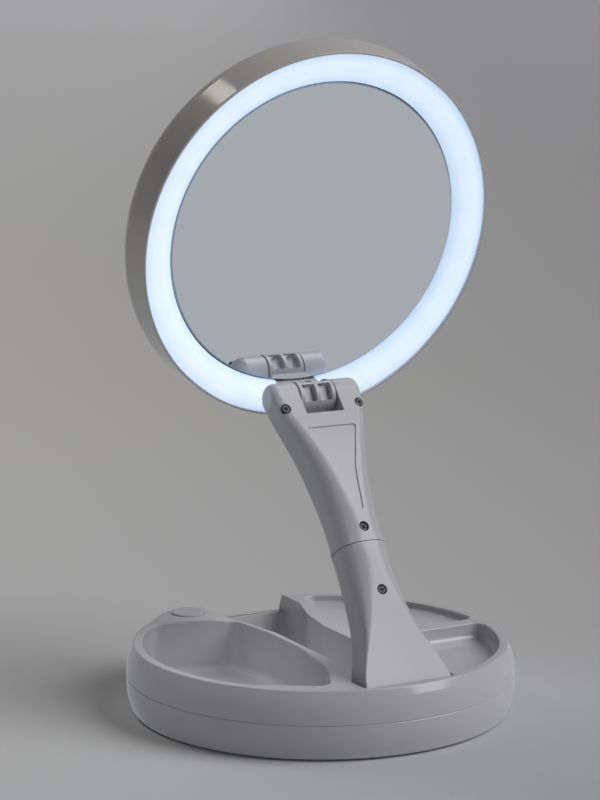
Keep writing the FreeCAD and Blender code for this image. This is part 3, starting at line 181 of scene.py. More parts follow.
@dataclass(frozen=True)
class PlatedMetal:
    """A plated metal: fine drawing lines, slight tarnish and uneven gloss."""

    name: str
    colour: str
    tarnish: str
    roughness: float
    line_mm: float = 1.0
    line_detail: float = 3.0
    line_depth_mm: float = 0.006
    line_strength: float = 0.6
    polish: float = 0.05
    wear: float = 0.07
    stretch: tuple[float, float, float] = (1.0, 1.0, 12.0)

    def material(self) -> bpy.types.Material:
        """Build the finish.

        Returns:
            The node material.
        """
        material, tree, shader = new_material(self.name)
        place = add_node(tree, "ShaderNodeTexCoord").outputs["Object"]
        drawn = add_node(tree, "ShaderNodeMapping", inputs={"Vector": place, "Scale": self.stretch})
        lines = add_node(tree, "ShaderNodeTexNoise", inputs={
            "Vector": drawn.outputs["Vector"], "Scale": 1 / (self.line_mm * MM),
            "Detail": self.line_detail})
        tint = add_node(tree, "ShaderNodeMix", {"data_type": "RGBA"}, {
            0: lines.outputs["Fac"], 6: linear(self.colour), 7: linear(self.tarnish)})
        gloss = add_node(tree, "ShaderNodeMapRange", inputs={
            "Value": lines.outputs["Fac"], "From Min": NOISE_LOW, "From Max": NOISE_HIGH,
            "To Min": self.roughness - self.polish, "To Max": self.roughness + self.wear})
        relief = add_node(tree, "ShaderNodeBump", inputs={
            "Height": lines.outputs["Fac"], "Distance": self.line_depth_mm * MM,
            "Strength": self.line_strength})
        tree.links.new(tint.outputs[2], shader.inputs["Base Color"])
        tree.links.new(gloss.outputs["Result"], shader.inputs["Roughness"])
        tree.links.new(relief.outputs["Normal"], shader.inputs["Normal"])
        shader.inputs["Metallic"].default_value = 1.0
        return material


@dataclass(frozen=True)
class HeadPlace:
    """Where the head's ring lies, to centre patterns on it."""

    centre: tuple[float, float, float] = (0.0, 1.17 * MM, 213.48 * MM)
    tilt: float = math.radians(14.8)

    def radius(self, tree: bpy.types.NodeTree) -> tuple[bpy.types.NodeSocket, bpy.types.NodeSocket]:
        """Add nodes that measure from the ring's axis.

        Args:
            tree: the node tree.
        Returns:
            The distance from the axis in metres, and the place in the head's own frame.
        """
        place = add_node(tree, "ShaderNodeTexCoord").outputs["Object"]
        local = add_node(tree, "ShaderNodeMapping", {"vector_type": "TEXTURE"}, {
            "Vector": place, "Location": self.centre, "Rotation": (self.tilt, 0.0, 0.0)})
        flat = add_node(tree, "ShaderNodeVectorMath", {"operation": "MULTIPLY"}, {
            0: local.outputs["Vector"], 1: (1.0, 0.0, 1.0)})
        length = add_node(tree, "ShaderNodeVectorMath", {"operation": "LENGTH"}, {
            0: flat.outputs["Vector"]})
        return length.outputs["Value"], local.outputs["Vector"]


@dataclass(frozen=True)
class LitOpal:
    """Opal acrylic lit from behind: even cool white, a little bluer and weaker towards both edges."""

    name: str = "lit_opal_acrylic"
    middle: str = "#cddcec"
    edge: str = "#b4cbe6"
    skin: str = "#a9b0b6"
    inner_mm: float = 70.8
    outer_mm: float = 84.3
    bright_from: float = 0.30
    bright_to: float = 0.72
    strength: float = 1.0
    lamps: int = 24
    lamp_tint: str = "#ffffff"
    lamp_share: float = 0.05
    roughness: float = 0.45
    ior: float = 1.49

    def material(self) -> bpy.types.Material:
        """Build the finish.

        Returns:
            The node material.
        """
        material, tree, shader = new_material(self.name)
        reach, local = HeadPlace().radius(tree)
        across = add_node(tree, "ShaderNodeMapRange", inputs={
            "Value": reach, "From Min": self.inner_mm * MM, "From Max": self.outer_mm * MM})
        ramp = add_node(tree, "ShaderNodeValToRGB", inputs={"Fac": across.outputs["Result"]})
        stops = ramp.color_ramp.elements
        stops[0].position, stops[0].color = 0.0, linear(self.edge)
        stops[1].position, stops[1].color = 1.0, linear(self.edge)
        for where in (self.bright_from, self.bright_to):
            stop = stops.new(where)
            stop.color = linear(self.middle)
        parts = add_node(tree, "ShaderNodeSeparateXYZ", inputs={"Vector": local})
        turn = add_node(tree, "ShaderNodeMath", {"operation": "ARCTAN2"}, {
            0: parts.outputs["X"], 1: parts.outputs["Z"]})
        beat = add_node(tree, "ShaderNodeMath", {"operation": "MULTIPLY"}, {
            0: turn.outputs["Value"], 1: float(self.lamps)})
        wave = add_node(tree, "ShaderNodeMath", {"operation": "COSINE"}, {0: beat.outputs["Value"]})
        dim = add_node(tree, "ShaderNodeMapRange", inputs={
            "Value": wave.outputs["Value"], "From Min": -1.0, "From Max": 1.0, "To Min": 0.0,
            "To Max": self.lamp_share})
        glow = add_node(tree, "ShaderNodeMix", {"data_type": "RGBA"}, {
            0: dim.outputs["Result"], 6: ramp.outputs["Color"], 7: linear(self.lamp_tint)})
        tree.links.new(glow.outputs[2], shader.inputs["Emission Color"])
        shader.inputs["Emission Strength"].default_value = self.strength
        shader.inputs["Base Color"].default_value = linear(self.skin)
        shader.inputs["Roughness"].default_value = self.roughness
        shader.inputs["IOR"].default_value = self.ior
        return material


@dataclass(frozen=True)
class SilveredGlass:
    """Float glass silvered behind: a clear reflection, and a ground edge that stays dull."""

    name: str = "silvered_float_glass"
    face: str = "#f4f7fa"
    ground: str = "#a3adb8"
    edge_mm: float = 69.5
    fade_mm: float = 0.2
    edge_dull: float = 0.45
    clearest: float = 0.004
    haziest: float = 0.03
    haze_per_m: float = 25.0
    haze_detail: float = 4.0
    haze_from: float = 0.4
    haze_to: float = 0.8

    def material(self) -> bpy.types.Material:
        """Build the finish.

        Returns:
            The node material.
        """
        material, tree, shader = new_material(self.name)
        reach, local = HeadPlace().radius(tree)
        rim = add_node(tree, "ShaderNodeMapRange", inputs={
            "Value": reach, "From Min": self.edge_mm * MM, "From Max": (self.edge_mm + self.fade_mm) * MM})
        tint = add_node(tree, "ShaderNodeMix", {"data_type": "RGBA"}, {
            0: rim.outputs["Result"], 6: linear(self.face), 7: linear(self.ground)})
        haze = add_node(tree, "ShaderNodeTexNoise", inputs={
            "Vector": local, "Scale": self.haze_per_m, "Detail": self.haze_detail})
        dull = add_node(tree, "ShaderNodeMapRange", inputs={
            "Value": haze.outputs["Fac"], "From Min": self.haze_from, "From Max": self.haze_to,
            "To Min": self.clearest, "To Max": self.haziest})
        gloss = add_node(tree, "ShaderNodeMix", {"data_type": "FLOAT"}, {
            0: rim.outputs["Result"], 2: dull.outputs["Result"], 3: self.edge_dull})
        tree.links.new(tint.outputs[2], shader.inputs["Base Color"])
        tree.links.new(gloss.outputs[0], shader.inputs["Roughness"])
        shader.inputs["Metallic"].default_value = 1.0
        return material


# White ABS, moulded in a polished tool: satin gloss, very even, with hardly seen flow marks
SHELL_WHITE = MouldedPlastic("polished_white_abs", "#cfced2", "#cac9cd", 0.14, grain_mm=1.6,
                             grain_depth_mm=0.004)
# White ABS of the head's casing: the same, a little glossier on its turned side; its warmer colour, set
# apart from the shell's white, is painted warm light and shade of the casing
HEAD_WHITE_PAINTED_LIGHT = MouldedPlastic("glossy_white_abs_painted_light", "#d0ccca", "#cbc7c5", 0.10, grain_mm=2.0,
                            grain_depth_mm=0.003)
# White ABS of the arm: a fine spark-eroded grain that spreads the light; its colour, darker than the
# shell's white, is painted shade that keeps the arm's flanks dark
ARM_WHITE_PAINTED_SHADE = MouldedPlastic("satin_white_abs_painted_shade", "#c4c3c8", "#bfbec3", 0.36, grain_mm=0.7,
                           grain_depth_mm=0.012)
# Natural ABS inside: dull, with clearer flow marks
INNER_WHITE = MouldedPlastic("plain_white_abs", "#bdbcbd", "#b2b1b1", 0.48, flow_mm=22.0)
# Polished ABS button cap
BUTTON_WHITE = MouldedPlastic("polished_button_abs", "#cccbcf", "#c8c7cb", 0.14, grain_depth_mm=0.002)
# Thermoplastic rubber of the feet: dark, dull and grainy
PAD_RUBBER = MouldedPlastic("grey_foot_rubber", "#3b3b3d", "#2f2f31", 0.78, grain_mm=0.5,
                            grain_depth_mm=0.05)
# Acetal washers: black and waxy
WASHER_BLACK = MouldedPlastic("black_acetal", "#1c1c1e", "#232325", 0.42)
# Shrink film round the cells
CELL_FILM = MouldedPlastic("grey_shrink_film", "#4a4f58", "#434750", 0.30, grain_depth_mm=0.003)
# Solder mask over glass fibre
BOARD_MASK = MouldedPlastic("green_solder_mask", "#1f5a3a", "#184a30", 0.35, flow_mm=6.0)
# Nylon body of the switch
SWITCH_NYLON = MouldedPlastic("black_switch_nylon", "#202022", "#2a2a2c", 0.5)
# Phosphor lens of the lamps
LAMP_LENS = MouldedPlastic("yellow_lamp_lens", "#efe3a0", "#e8d98c", 0.25, flow_mm=2.0)
# Zinc plated steel screws: grey, faintly brushed
SCREW_ZINC = PlatedMetal("zinc_plated_screw_steel", "#434448", "#2f3033", 0.36)
# Turned steel pins and spindle
PIN_STEEL = PlatedMetal("turned_pin_steel", "#b4b5b8", "#9b9ca0", 0.26, stretch=(12.0, 1.0, 1.0))
# Nickel plated spring steel contacts
CONTACT_NICKEL = PlatedMetal("nickel_plated_contact", "#c8c4ba", "#aaa69c", 0.22)


NODE_FINISHES: dict[str, Any] = {
    "base_upper_shell": SHELL_WHITE, "base_lower_shell": SHELL_WHITE, "power_button": BUTTON_WHITE,
    "battery_cells": CELL_FILM, "battery_contacts": CONTACT_NICKEL, "tact_switch": SWITCH_NYLON,
    "control_board": BOARD_MASK, "arm_hinge_pin": PIN_STEEL, "hinge_washers": WASHER_BLACK,
    "lower_arm_front": ARM_WHITE_PAINTED_SHADE, "lower_arm_rear": ARM_WHITE_PAINTED_SHADE, "upper_arm_front": ARM_WHITE_PAINTED_SHADE,
    "upper_arm_rear": ARM_WHITE_PAINTED_SHADE, "swivel_spindle": PIN_STEEL, "swivel_ring": SCREW_ZINC,
    "tilt_hinge_pin": PIN_STEEL, "light_diffuser": LitOpal(), "mirror_glass": SilveredGlass(),
    "mirror_carrier": INNER_WHITE, "led_board": BOARD_MASK, "led_lamps": LAMP_LENS,
    "head_bezel": HEAD_WHITE_PAINTED_LIGHT, "head_back_cover": HEAD_WHITE_PAINTED_LIGHT, "hinge_bracket": ARM_WHITE_PAINTED_SHADE,
    "bracket_screws": SCREW_ZINC,
}


class FinishBook:
    """Makes each finish once and hands it out."""

    def __init__(self) -> None:
        """Start with no finishes made."""
        self.made: dict[str, bpy.types.Material] = {}

    def get(self, finish: Any) -> bpy.types.Material:
        """Give the material of a finish.

        Args:
            finish: one of the finish dataclasses.
        Returns:
            Its material, made on the first call.
        """
        if finish.name not in self.made:
            self.made[finish.name] = finish.material()
        return self.made[finish.name]

    def dress(self, item: bpy.types.Object, finish: Any) -> None:
        """Give every material slot of an object one finish.

        Args:
            item: the object.
            finish: one of the finish dataclasses.
        """
        material = self.get(finish)
        if not item.data.materials:
            item.data.materials.append(material)
        for slot in item.material_slots:
            slot.material = material


def pick(item: bpy.types.Object) -> None:
    """Make one object the only selected and the active one.

    Args:
        item: the object.
    """
    bpy.ops.object.select_all(action="DESELECT")
    item.select_set(True)
    bpy.context.view_layer.objects.active = item


def choose_faces(item: bpy.types.Object, facing: Facing) -> None:
    """Go into edit mode with the flat faces that look one way selected.

    Args:
        item: the object.
        facing: the way the faces look.
    """
    pick(item)
    bpy.ops.object.mode_set(mode="EDIT")
    bpy.ops.mesh.select_mode(type="FACE")
    bpy.ops.mesh.select_all(action="DESELECT")
    mesh = bmesh.from_edit_mesh(item.data)
    for face in mesh.faces:
        face.select_set(face.normal.dot(Vector(facing.value)) > FACE_MATCH)
    bmesh.update_edit_mesh(item.data)


def choose_edges(item: bpy.types.Object, test: Callable[[bmesh.types.BMEdge], bool]) -> None:
    """Go into edit mode with the edges that a test takes selected.

    Args:
        item: the object.
        test: says whether an edge is taken.
    """
    pick(item)
    bpy.ops.object.mode_set(mode="EDIT")
    bpy.ops.mesh.select_mode(type="EDGE")
    bpy.ops.mesh.select_all(action="DESELECT")
    mesh = bmesh.from_edit_mesh(item.data)
    for edge in mesh.edges:
        edge.select_set(test(edge))
    bmesh.update_edit_mesh(item.data)


def leave_edit() -> None:
    """Go back to object mode."""
    bpy.ops.object.mode_set(mode="OBJECT")


def cut_out(item: bpy.types.Object, tool: bpy.types.Object) -> None:
    """Cut one solid out of another and remove the tool.

    Args:
        item: the solid that is cut.
        tool: the solid that is cut out.
    """
    pick(item)
    cutter = item.modifiers.new("cut", "BOOLEAN")
    cutter.operation = "DIFFERENCE"
    cutter.solver = "EXACT"
    cutter.object = tool
    bpy.ops.object.modifier_apply(modifier=cutter.name)
    bpy.data.objects.remove(tool)


def soften(item: bpy.types.Object, width: float, segments: int = 2) -> None:
    """Round the sharp edges of a solid a little and shade it smooth.

    Args:
        item: the solid.
        width: the width of the rounding in metres.
        segments: faces across the rounding.
    """
    pick(item)
    rounding = item.modifiers.new("rounding", "BEVEL")
    rounding.width = width
    rounding.segments = segments
    rounding.limit_method = "ANGLE"
    rounding.angle_limit = SHARP_EDGE
    rounding.harden_normals = False
    bpy.ops.object.modifier_apply(modifier=rounding.name)
    bpy.ops.object.shade_smooth_by_angle(angle=SMOOTH_BELOW)


def set_out(model: bpy.types.Object, name: str, places: list[Matrix]) -> bpy.types.Object:
    """Copy a model to its places and join the copies into one piece at the origin.

    Args:
        model: the model, built at the origin.
        name: the name of the piece.
        places: one placement for each copy.
    Returns:
        The piece.
    """
    copies = []
    for number, where in enumerate(places):
        copy = bpy.data.objects.new(f"{name}_{number}", model.data.copy())
        copy.data.transform(where)
        bpy.context.scene.collection.objects.link(copy)
        copies.append(copy)
    pick(copies[0])
    for copy in copies[1:]:
        copy.select_set(True)
    if len(copies) > 1:
        bpy.ops.object.join()
    copies[0].name = name
    return copies[0]


def settle(piece: bpy.types.Object, node: str, body: Body) -> None:
    """Let a finished piece stand for a CAD node and ride on its body.

    Args:
        piece: the finished piece.
        node: the node it stands for.
        body: the body it rides on.
    """
    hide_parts(node)
    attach(piece, body.value)
    LOG.info("built %s with %d faces", piece.name, len(piece.data.polygons))


@dataclass
class CrossScrews:
    """Cross recess screws: pan heads with a rounded edge, a tapered recess and a plain shank."""

    head_radius: float = 2.1 * MM
    head_thick: float = 1.4 * MM
    shank_radius: float = 1.25 * MM
    head_round: float = 0.45 * MM
    round_steps: int = 4
    facets: int = 40
    tip_share: float = 0.55
    slot_long: float = 2.6 * MM
    slot_wide: float = 0.72 * MM
    slot_deep: float = 0.95 * MM
    slot_taper: float = 0.62
    arm_origin: tuple[float, float, float] = (0.0, -73.076 * MM, 22.298 * MM)
    arm_lean: float = math.radians(34.65)
    arm_end: float = 7.0 * MM
    lower_place: tuple[float, float, float] = (0.0, -10.0 * MM, 46.4 * MM)
    neck_place: tuple[float, float, float] = (0.0, -10.6 * MM, 75.9 * MM)
    ear_place: tuple[float, float, float] = (18.6 * MM, -7.7 * MM, 136.4 * MM)
    base_front: tuple[float, float] = (28.5 * MM, -71.0 * MM)
    base_back: tuple[float, float] = (28.8 * MM, 74.8 * MM)
    base_low: float = 1.8 * MM
    base_length: float = 11.0 * MM
    turns: tuple[float, ...] = (12.0, 57.0, 33.0, 71.0)

    def model(self, length: float) -> bpy.types.Object:
        """Model one screw with its head's top at the origin.

        Args:
            length: from the top of the head to the end of the shank.
        Returns:
            The screw, pointing down.
        """
        bpy.ops.object.select_all(action="DESELECT")
        bpy.ops.mesh.primitive_cylinder_add(vertices=self.facets, radius=self.head_radius,
                                            depth=self.head_thick,
                                            location=(0.0, 0.0, -self.head_thick / 2))
        screw = bpy.context.active_object
        bpy.ops.object.transform_apply(location=True, rotation=True, scale=True)
        choose_faces(screw, Facing.DOWN)
        bpy.ops.mesh.inset(thickness=self.head_radius - self.shank_radius)
        bpy.ops.mesh.extrude_region_move(TRANSFORM_OT_translate={
            "value": (0.0, 0.0, self.head_thick + self.head_round - length)})
        bpy.ops.mesh.extrude_region_move(TRANSFORM_OT_translate={"value": (0.0, 0.0, -self.head_round)})
        bpy.ops.transform.resize(value=(self.tip_share, self.tip_share, 1.0))
        leave_edit()
        choose_edges(screw, lambda edge: min(end.co.z for end in edge.verts) > -NEAR)
        bpy.ops.mesh.bevel(offset=self.head_round, segments=self.round_steps, affect="EDGES")
        leave_edit()
        for quarter in range(2):
            cut_out(screw, self.slot_tool(quarter * math.pi / 2))
        pick(screw)
        bpy.ops.object.shade_smooth_by_angle(angle=SMOOTH_BELOW)
        return screw

    def slot_tool(self, turn: float) -> bpy.types.Object:
        """Model the tapered tool for one slot of the cross.

        Args:
            turn: the slot's direction in radians.
        Returns:
            The tool.
        """
        bpy.ops.object.select_all(action="DESELECT")
        bpy.ops.mesh.primitive_cube_add(size=1.0, rotation=(0.0, 0.0, turn))
        tool = bpy.context.active_object
        tool.scale = (self.slot_long, self.slot_wide, 2 * self.slot_deep)
        bpy.ops.object.transform_apply(location=True, rotation=True, scale=True)
        choose_faces(tool, Facing.DOWN)
        bpy.ops.transform.resize(value=(self.slot_taper, self.slot_taper, 1.0))
        leave_edit()
        return tool

    def on_arm(self, place: tuple[float, float, float], turn: float) -> Matrix:
        """Place a screw on the arm's front.

        Args:
            place: across, in front of and along the arm's line.
            turn: how far the screw is turned, in degrees.
        Returns:
            The placement.
        """
        lean = Matrix.Translation(self.arm_origin) @ Matrix.Rotation(-self.arm_lean, 4, "X")
        outward = Matrix.Rotation(math.pi / 2, 4, "X") @ Matrix.Rotation(math.radians(turn), 4, "Z")
        return lean @ Matrix.Translation(place) @ outward

    def under_base(self, x: float, y: float, turn: float) -> Matrix:
        """Place a screw in the base from below.

        Args:
            x: across.
            y: along.
            turn: how far the screw is turned, in degrees.
        Returns:
            The placement.
        """
        downward = Matrix.Rotation(math.pi, 4, "X") @ Matrix.Rotation(math.radians(turn), 4, "Z")
        return Matrix.Translation((x, y, self.base_low)) @ downward

    def build(self, book: FinishBook) -> None:
        """Build the screws of the arm and of the base.

        Args:
            book: where the finishes come from.
        """
        first, second, third, fourth = self.turns
        ear_x, ear_y, ear_z = self.ear_place
        left_ear = (-ear_x, ear_y, ear_z)
        rows = [
            ("lower_arm_screw", Body.LOWER_ARM, self.arm_end - self.lower_place[1],
             [self.on_arm(self.lower_place, first)]),
            ("upper_arm_screws", Body.UPPER_ARM, self.arm_end - self.ear_place[1],
             [self.on_arm(self.neck_place, second), self.on_arm(self.ear_place, third),
              self.on_arm(left_ear, fourth)]),
            ("base_screws", Body.BASE, self.base_length,
             [self.under_base(side * x, y, turn) for (x, y), turns in (
                 (self.base_front, (first, second)), (self.base_back, (third, fourth)))
              for side, turn in zip((1, -1), turns)]),
        ]
        for node, body, length, places in rows:
            model = self.model(length)
            piece = set_out(model, node + "_cross", places)
            bpy.data.objects.remove(model)
            book.dress(piece, SCREW_ZINC)
            settle(piece, node, body)


@dataclass
class BatteryDoor:
    """The battery door: rounded corners, a sunk panel and a row of thumb ridges by its free end."""

    corner: float = 2.0 * MM
    corner_steps: int = 6
    border: float = 1.5 * MM
    sunk: float = 0.3 * MM
    ridges: int = 6
    ridge_pitch: float = 1.7 * MM
    ridge_wide: float = 0.9 * MM
    ridge_long: float = 20.0 * MM
    ridge_deep: float = 0.5 * MM
    ridge_set: float = 6.5 * MM
    ridge_taper: tuple[float, float, float] = (0.5, 0.97, 1.0)
    edge_round: float = 0.25 * MM

    def build(self, book: FinishBook) -> None:
        """Build the door in the place of its node.

        Args:
            book: where the finish comes from.
        """
        low, high = (Vector(corner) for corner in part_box("battery_door"))
        bpy.ops.object.select_all(action="DESELECT")
        bpy.ops.mesh.primitive_cube_add(size=1.0, location=(low + high) / 2)
        door = bpy.context.active_object
        door.name = "battery_door_ridged"
        door.scale = high - low
        bpy.ops.object.transform_apply(location=True, rotation=True, scale=True)
        choose_edges(door, lambda edge: abs(edge.verts[0].co.z - edge.verts[1].co.z) > self.sunk)
        bpy.ops.mesh.bevel(offset=self.corner, segments=self.corner_steps, affect="EDGES")
        leave_edit()
        choose_faces(door, Facing.DOWN)
        bpy.ops.mesh.inset(thickness=self.border)
        bpy.ops.mesh.inset(thickness=self.sunk)
        bpy.ops.transform.translate(value=(0.0, 0.0, self.sunk))
        leave_edit()
        cut_out(door, self.ridge_tool(low, high))
        soften(door, self.edge_round)
        book.dress(door, INNER_WHITE)
        settle(door, "battery_door", Body.DOOR)

    def ridge_tool(self, low: Vector, high: Vector) -> bpy.types.Object:
        """Model the row of bars that cut the thumb ridges.

        Args:
            low: the door's lowest corner.
            high: the door's highest corner.
        Returns:
            The row of bars.
        """
        start = high.x - self.border - self.ridge_set - (self.ridges - 1) * self.ridge_pitch
        bpy.ops.object.select_all(action="DESELECT")
        bpy.ops.mesh.primitive_cube_add(size=1.0, location=(start, 0.0, low.z))
        bar = bpy.context.active_object
        bar.scale = (self.ridge_wide, self.ridge_long, 2 * (self.sunk + self.ridge_deep))
        bpy.ops.object.transform_apply(location=True, rotation=True, scale=True)
        choose_faces(bar, Facing.UP)
        bpy.ops.transform.resize(value=self.ridge_taper)
        leave_edit()
        pick(bar)
        row = bar.modifiers.new("row", "ARRAY")
        row.count = self.ridges
        row.use_relative_offset = False
        row.use_constant_offset = True
        row.constant_offset_displace = (self.ridge_pitch, 0.0, 0.0)
        bpy.ops.object.modifier_apply(modifier=row.name)
        return bar


@dataclass
class FootPads:
    """Four rubber feet: a rounded lower edge and a shallow hollow that grips the table."""

    radius: float = 6.0 * MM
    thick: float = 1.8 * MM
    reach: float = 50.0 * MM
    edge_round: float = 0.6 * MM
    round_steps: int = 4
    facets: int = 48
    land: float = 1.3 * MM
    hollow: float = 0.3 * MM

    def build(self, book: FinishBook) -> None:
        """Build one foot and set out four.

        Args:
            book: where the finish comes from.
        """
        bpy.ops.object.select_all(action="DESELECT")
        bpy.ops.mesh.primitive_cylinder_add(vertices=self.facets, radius=self.radius, depth=self.thick,
                                            location=(0.0, 0.0, self.thick / 2))
        pad = bpy.context.active_object
        bpy.ops.object.transform_apply(location=True, rotation=True, scale=True)
        choose_edges(pad, lambda edge: max(end.co.z for end in edge.verts) < NEAR)
        bpy.ops.mesh.bevel(offset=self.edge_round, segments=self.round_steps, affect="EDGES")
        leave_edit()
        choose_faces(pad, Facing.DOWN)
        bpy.ops.mesh.inset(thickness=self.land)
        bpy.ops.mesh.inset(thickness=self.hollow)
        bpy.ops.transform.translate(value=(0.0, 0.0, self.hollow))
        leave_edit()
        pick(pad)
        bpy.ops.object.shade_smooth_by_angle(angle=SMOOTH_BELOW)
        places = [Matrix.Translation((x * self.reach, y * self.reach, 0.0))
                  for x in (-1, 1) for y in (-1, 1)]
        piece = set_out(pad, "foot_pads_rounded", places)
        bpy.data.objects.remove(pad)
        book.dress(piece, PAD_RUBBER)
        settle(piece, "foot_pads", Body.BASE)


@dataclass
class Studio:
    """Grey paper floor, soft lights and the camera of the photograph."""

    # Painted light falloff: the paper colours below are lighter near and far along the line of sight, with
    # a painted shade at middle distance, and a painted shade darkens the paper towards the right.
    painted_falloff_near: str = "#e5e6e7"
    painted_falloff_middle: str = "#dedddb"
    painted_falloff_far: str = "#e8e7e9"
    near_m: float = -0.2
    middle_m: float = 0.9
    far_m: float = 9.0
    sight_line: tuple[float, float, float] = (0.475, 0.880, 0.0)
    right_line: tuple[float, float, float] = (0.880, -0.475, 0.0)
    right_reach_m: float = 0.5
    painted_shade_right: str = "#dedee1"
    paper_rough: float = 0.9
    paper_shine: float = 0.2
    floor_half: float = 14.0
    key_direction: tuple[float, float, float] = (0.56, -0.50, 0.66)
    key_level: float = 0.56
    key_angle: float = math.radians(44.0)
    back_direction: tuple[float, float, float] = (0.14, 0.84, 0.52)
    back_level: float = 0.12
    wide_angle: float = math.radians(60.0)
    fill_tint: str = "#fbfbff"
    fill_level: float = 0.01
    sky: str = "#98979a"
    glass_view: str = "#acafb1"
    box_direction: tuple[float, float, float] = (-0.329, 0.62, 0.705)
    box_target: tuple[float, float, float] = (-0.05, 0.0, 0.27)
    box_distance: float = 1.25
    box_size: tuple[float, float] = (0.16, 0.46)
    box_power: float = 1.12
    box_tint: str = "#fbf6ea"
    tray_direction: tuple[float, float, float] = (-0.45, -0.35, 0.82)
    tray_target: tuple[float, float, float] = (-0.027, 0.013, 0.015)
    tray_distance: float = 1.1
    tray_reach: float = 0.056
    tray_blend: float = 0.6
    tray_softness: float = 0.05
    tray_power: float = 17.0
    camera_place: tuple[float, float, float] = (-0.5704, -1.0353, 0.3481)
    camera_aim: tuple[float, float, float] = (-0.0082, 0.0044, 0.1410)
    lens_mm: float = 121.1
    sensor_mm: float = 36.0
    sight_end: float = 60.0

    def build(self) -> None:
        """Make the floor, the lights, the world and the camera."""
        self.lay_floor()
        self.hang_lights()
        self.fill_world()
        self.set_camera()

    def lay_floor(self) -> None:
        """Lay a wide sheet of paper under the object, with painted light falloff and a painted shade to
        the right in its colour.
        """
        bpy.ops.mesh.primitive_plane_add(size=2 * self.floor_half)
        floor = bpy.context.active_object
        floor.name = "paper_floor"
        material, tree, shader = new_material("grey_paper_painted_falloff")
        place = add_node(tree, "ShaderNodeTexCoord").outputs["Object"]
        # Painted light falloff along the line of sight.
        depth = add_node(tree, "ShaderNodeVectorMath", {"operation": "DOT_PRODUCT"}, {
            0: place, 1: self.sight_line})
        share = add_node(tree, "ShaderNodeMapRange", inputs={
            "Value": depth.outputs["Value"], "From Min": self.near_m, "From Max": self.far_m})
        ramp = add_node(tree, "ShaderNodeValToRGB", inputs={"Fac": share.outputs["Result"]})
        stops = ramp.color_ramp.elements
        stops[0].color, stops[1].color = linear(self.painted_falloff_near), linear(self.painted_falloff_far)
        middle = stops.new((self.middle_m - self.near_m) / (self.far_m - self.near_m))
        middle.color = linear(self.painted_falloff_middle)
        # Painted shade towards the right.
        side = add_node(tree, "ShaderNodeVectorMath", {"operation": "DOT_PRODUCT"}, {
            0: place, 1: self.right_line})
        shade = add_node(tree, "ShaderNodeMapRange", {"interpolation_type": "SMOOTHSTEP"}, {
            "Value": side.outputs["Value"], "From Min": -self.right_reach_m,
            "From Max": self.right_reach_m})
        tint = add_node(tree, "ShaderNodeMix", {"data_type": "RGBA", "blend_type": "MULTIPLY"}, {
            0: shade.outputs["Result"], 6: ramp.outputs["Color"], 7: linear(self.painted_shade_right)})
        tree.links.new(tint.outputs[2], shader.inputs["Base Color"])
        shader.inputs["Roughness"].default_value = self.paper_rough
        shader.inputs["Specular IOR Level"].default_value = self.paper_shine
        ray = add_node(tree, "ShaderNodeLightPath")
        plain = add_node(tree, "ShaderNodeEmission", inputs={
            "Color": linear(self.glass_view), "Strength": 1.0})
        both = add_node(tree, "ShaderNodeMixShader", inputs={
            0: ray.outputs["Is Glossy Ray"], 1: shader.outputs["BSDF"], 2: plain.outputs["Emission"]})
        tree.links.new(both.outputs["Shader"], tree.get_output_node("CYCLES").inputs["Surface"])
        floor.data.materials.append(material)

    def hang_lights(self) -> None:
        """Hang the key and back lights, the warm softbox behind the head and a light for the left tray."""
        self.hang_sun("key_light", self.key_direction, self.key_level, self.key_angle)
        back = self.hang_sun("back_light", self.back_direction, self.back_level, self.wide_angle)
        back.visible_glossy = False
        soft = bpy.data.lights.new("warm_softbox", "AREA")
        soft.shape = "RECTANGLE"
        soft.size, soft.size_y = self.box_size
        soft.energy = self.box_power
        soft.color = linear(self.box_tint)[:3]
        self.hang(soft, self.box_direction, self.box_target, self.box_distance)
        spot = bpy.data.lights.new("tray_light", "SPOT")
        spot.energy = self.tray_power
        spot.spot_size = 2 * math.atan(self.tray_reach / self.tray_distance)
        spot.spot_blend = self.tray_blend
        spot.shadow_soft_size = self.tray_softness
        self.hang(spot, self.tray_direction, self.tray_target, self.tray_distance)

    def hang_sun(self, name: str, direction: tuple[float, float, float], level: float,
                 angle: float) -> bpy.types.Object:
        """Hang a wide, even light.

        Args:
            name: the light's name.
            direction: from the object to the light.
            level: how bright it makes white paper that faces it.
            angle: how wide the light looks, in radians.
        Returns:
            The lamp.
        """
        sun = bpy.data.lights.new(name, "SUN")
        sun.energy = level * math.pi
        sun.angle = angle
        return self.hang(sun, direction, (0.0, 0.0, 0.0), 0.0)

    def hang(self, light: bpy.types.Light, direction: tuple[float, float, float],
             target: tuple[float, float, float], distance: float) -> bpy.types.Object:
        """Hang a light out of the camera's view, aimed at a place.

        Args:
            light: the light.
            direction: from the place to the light.
            target: the place it is aimed at.
            distance: from the place to the light, in metres.
        Returns:
            The lamp.
        """
        lamp = bpy.data.objects.new(light.name, light)
        away = Vector(direction).normalized()
        lamp.location = Vector(target) + away * distance
        lamp.rotation_euler = away.to_track_quat("Z", "Y").to_euler()
        lamp.visible_camera = False
        bpy.context.scene.collection.objects.link(lamp)
        return lamp

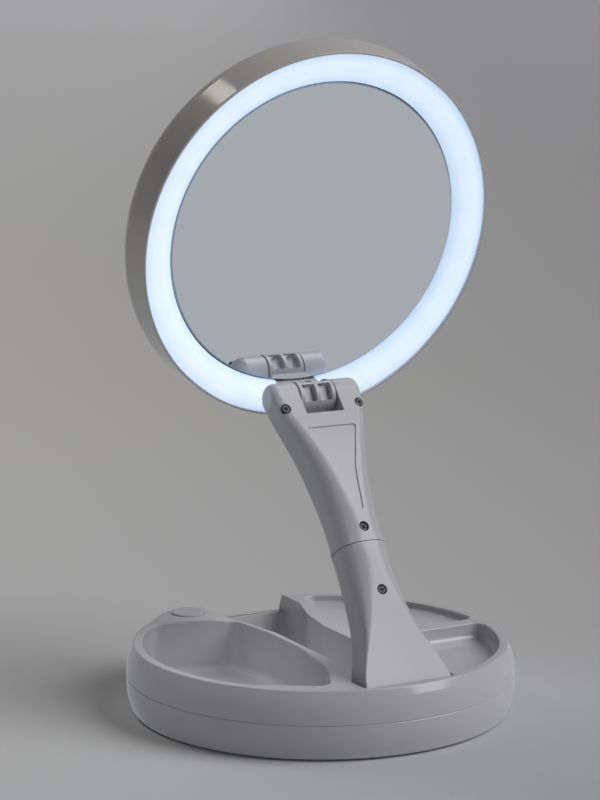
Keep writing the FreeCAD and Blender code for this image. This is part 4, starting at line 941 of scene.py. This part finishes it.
    def fill_world(self) -> None:
        """Fill the shadows evenly, and show plain paper grey where the floor ends."""
        world = bpy.data.worlds.new("studio_fill")
        world.use_nodes = True
        bpy.context.scene.world = world
        tree = world.node_tree
        tree.nodes.clear()
        ray = add_node(tree, "ShaderNodeLightPath")
        seen = add_node(tree, "ShaderNodeMath", {"operation": "MAXIMUM"}, {
            0: ray.outputs["Is Camera Ray"], 1: ray.outputs["Is Glossy Ray"]})
        seen = add_node(tree, "ShaderNodeMath", {"operation": "MAXIMUM"}, {
            0: seen.outputs["Value"], 1: ray.outputs["Is Transmission Ray"]})
        fill = add_node(tree, "ShaderNodeBackground", inputs={
            "Color": linear(self.fill_tint), "Strength": self.fill_level})
        paper = add_node(tree, "ShaderNodeBackground", inputs={"Color": linear(self.sky), "Strength": 1.0})
        both = add_node(tree, "ShaderNodeMixShader", inputs={
            0: seen.outputs["Value"], 1: fill.outputs["Background"], 2: paper.outputs["Background"]})
        add_node(tree, "ShaderNodeOutputWorld", inputs={"Surface": both.outputs["Shader"]})

    def set_camera(self) -> None:
        """Stand the camera where the photograph was taken from."""
        lens = bpy.data.cameras.new("photo_camera")
        lens.sensor_fit = "AUTO"
        lens.sensor_width = self.sensor_mm
        lens.lens = self.lens_mm
        lens.clip_end = self.sight_end
        camera = bpy.data.objects.new("photo_camera", lens)
        camera.location = self.camera_place
        sight = Vector(self.camera_aim) - Vector(self.camera_place)
        camera.rotation_euler = sight.to_track_quat("-Z", "Y").to_euler()
        bpy.context.scene.collection.objects.link(camera)
        bpy.context.scene.camera = camera


def main() -> None:
    """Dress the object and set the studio."""
    logging.basicConfig(level=logging.INFO, format="%(message)s")
    bpy.ops.object.select_all(action="DESELECT")
    book = FinishBook()
    for node, finish in NODE_FINISHES.items():
        book.dress(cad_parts[node], finish)
        LOG.info("dressed %s in %s", node, finish.name)
    CrossScrews().build(book)
    BatteryDoor().build(book)
    FootPads().build(book)
    Studio().build()
    bpy.context.scene.view_settings.view_transform = "Standard"


if __name__ == "__main__":
    main()
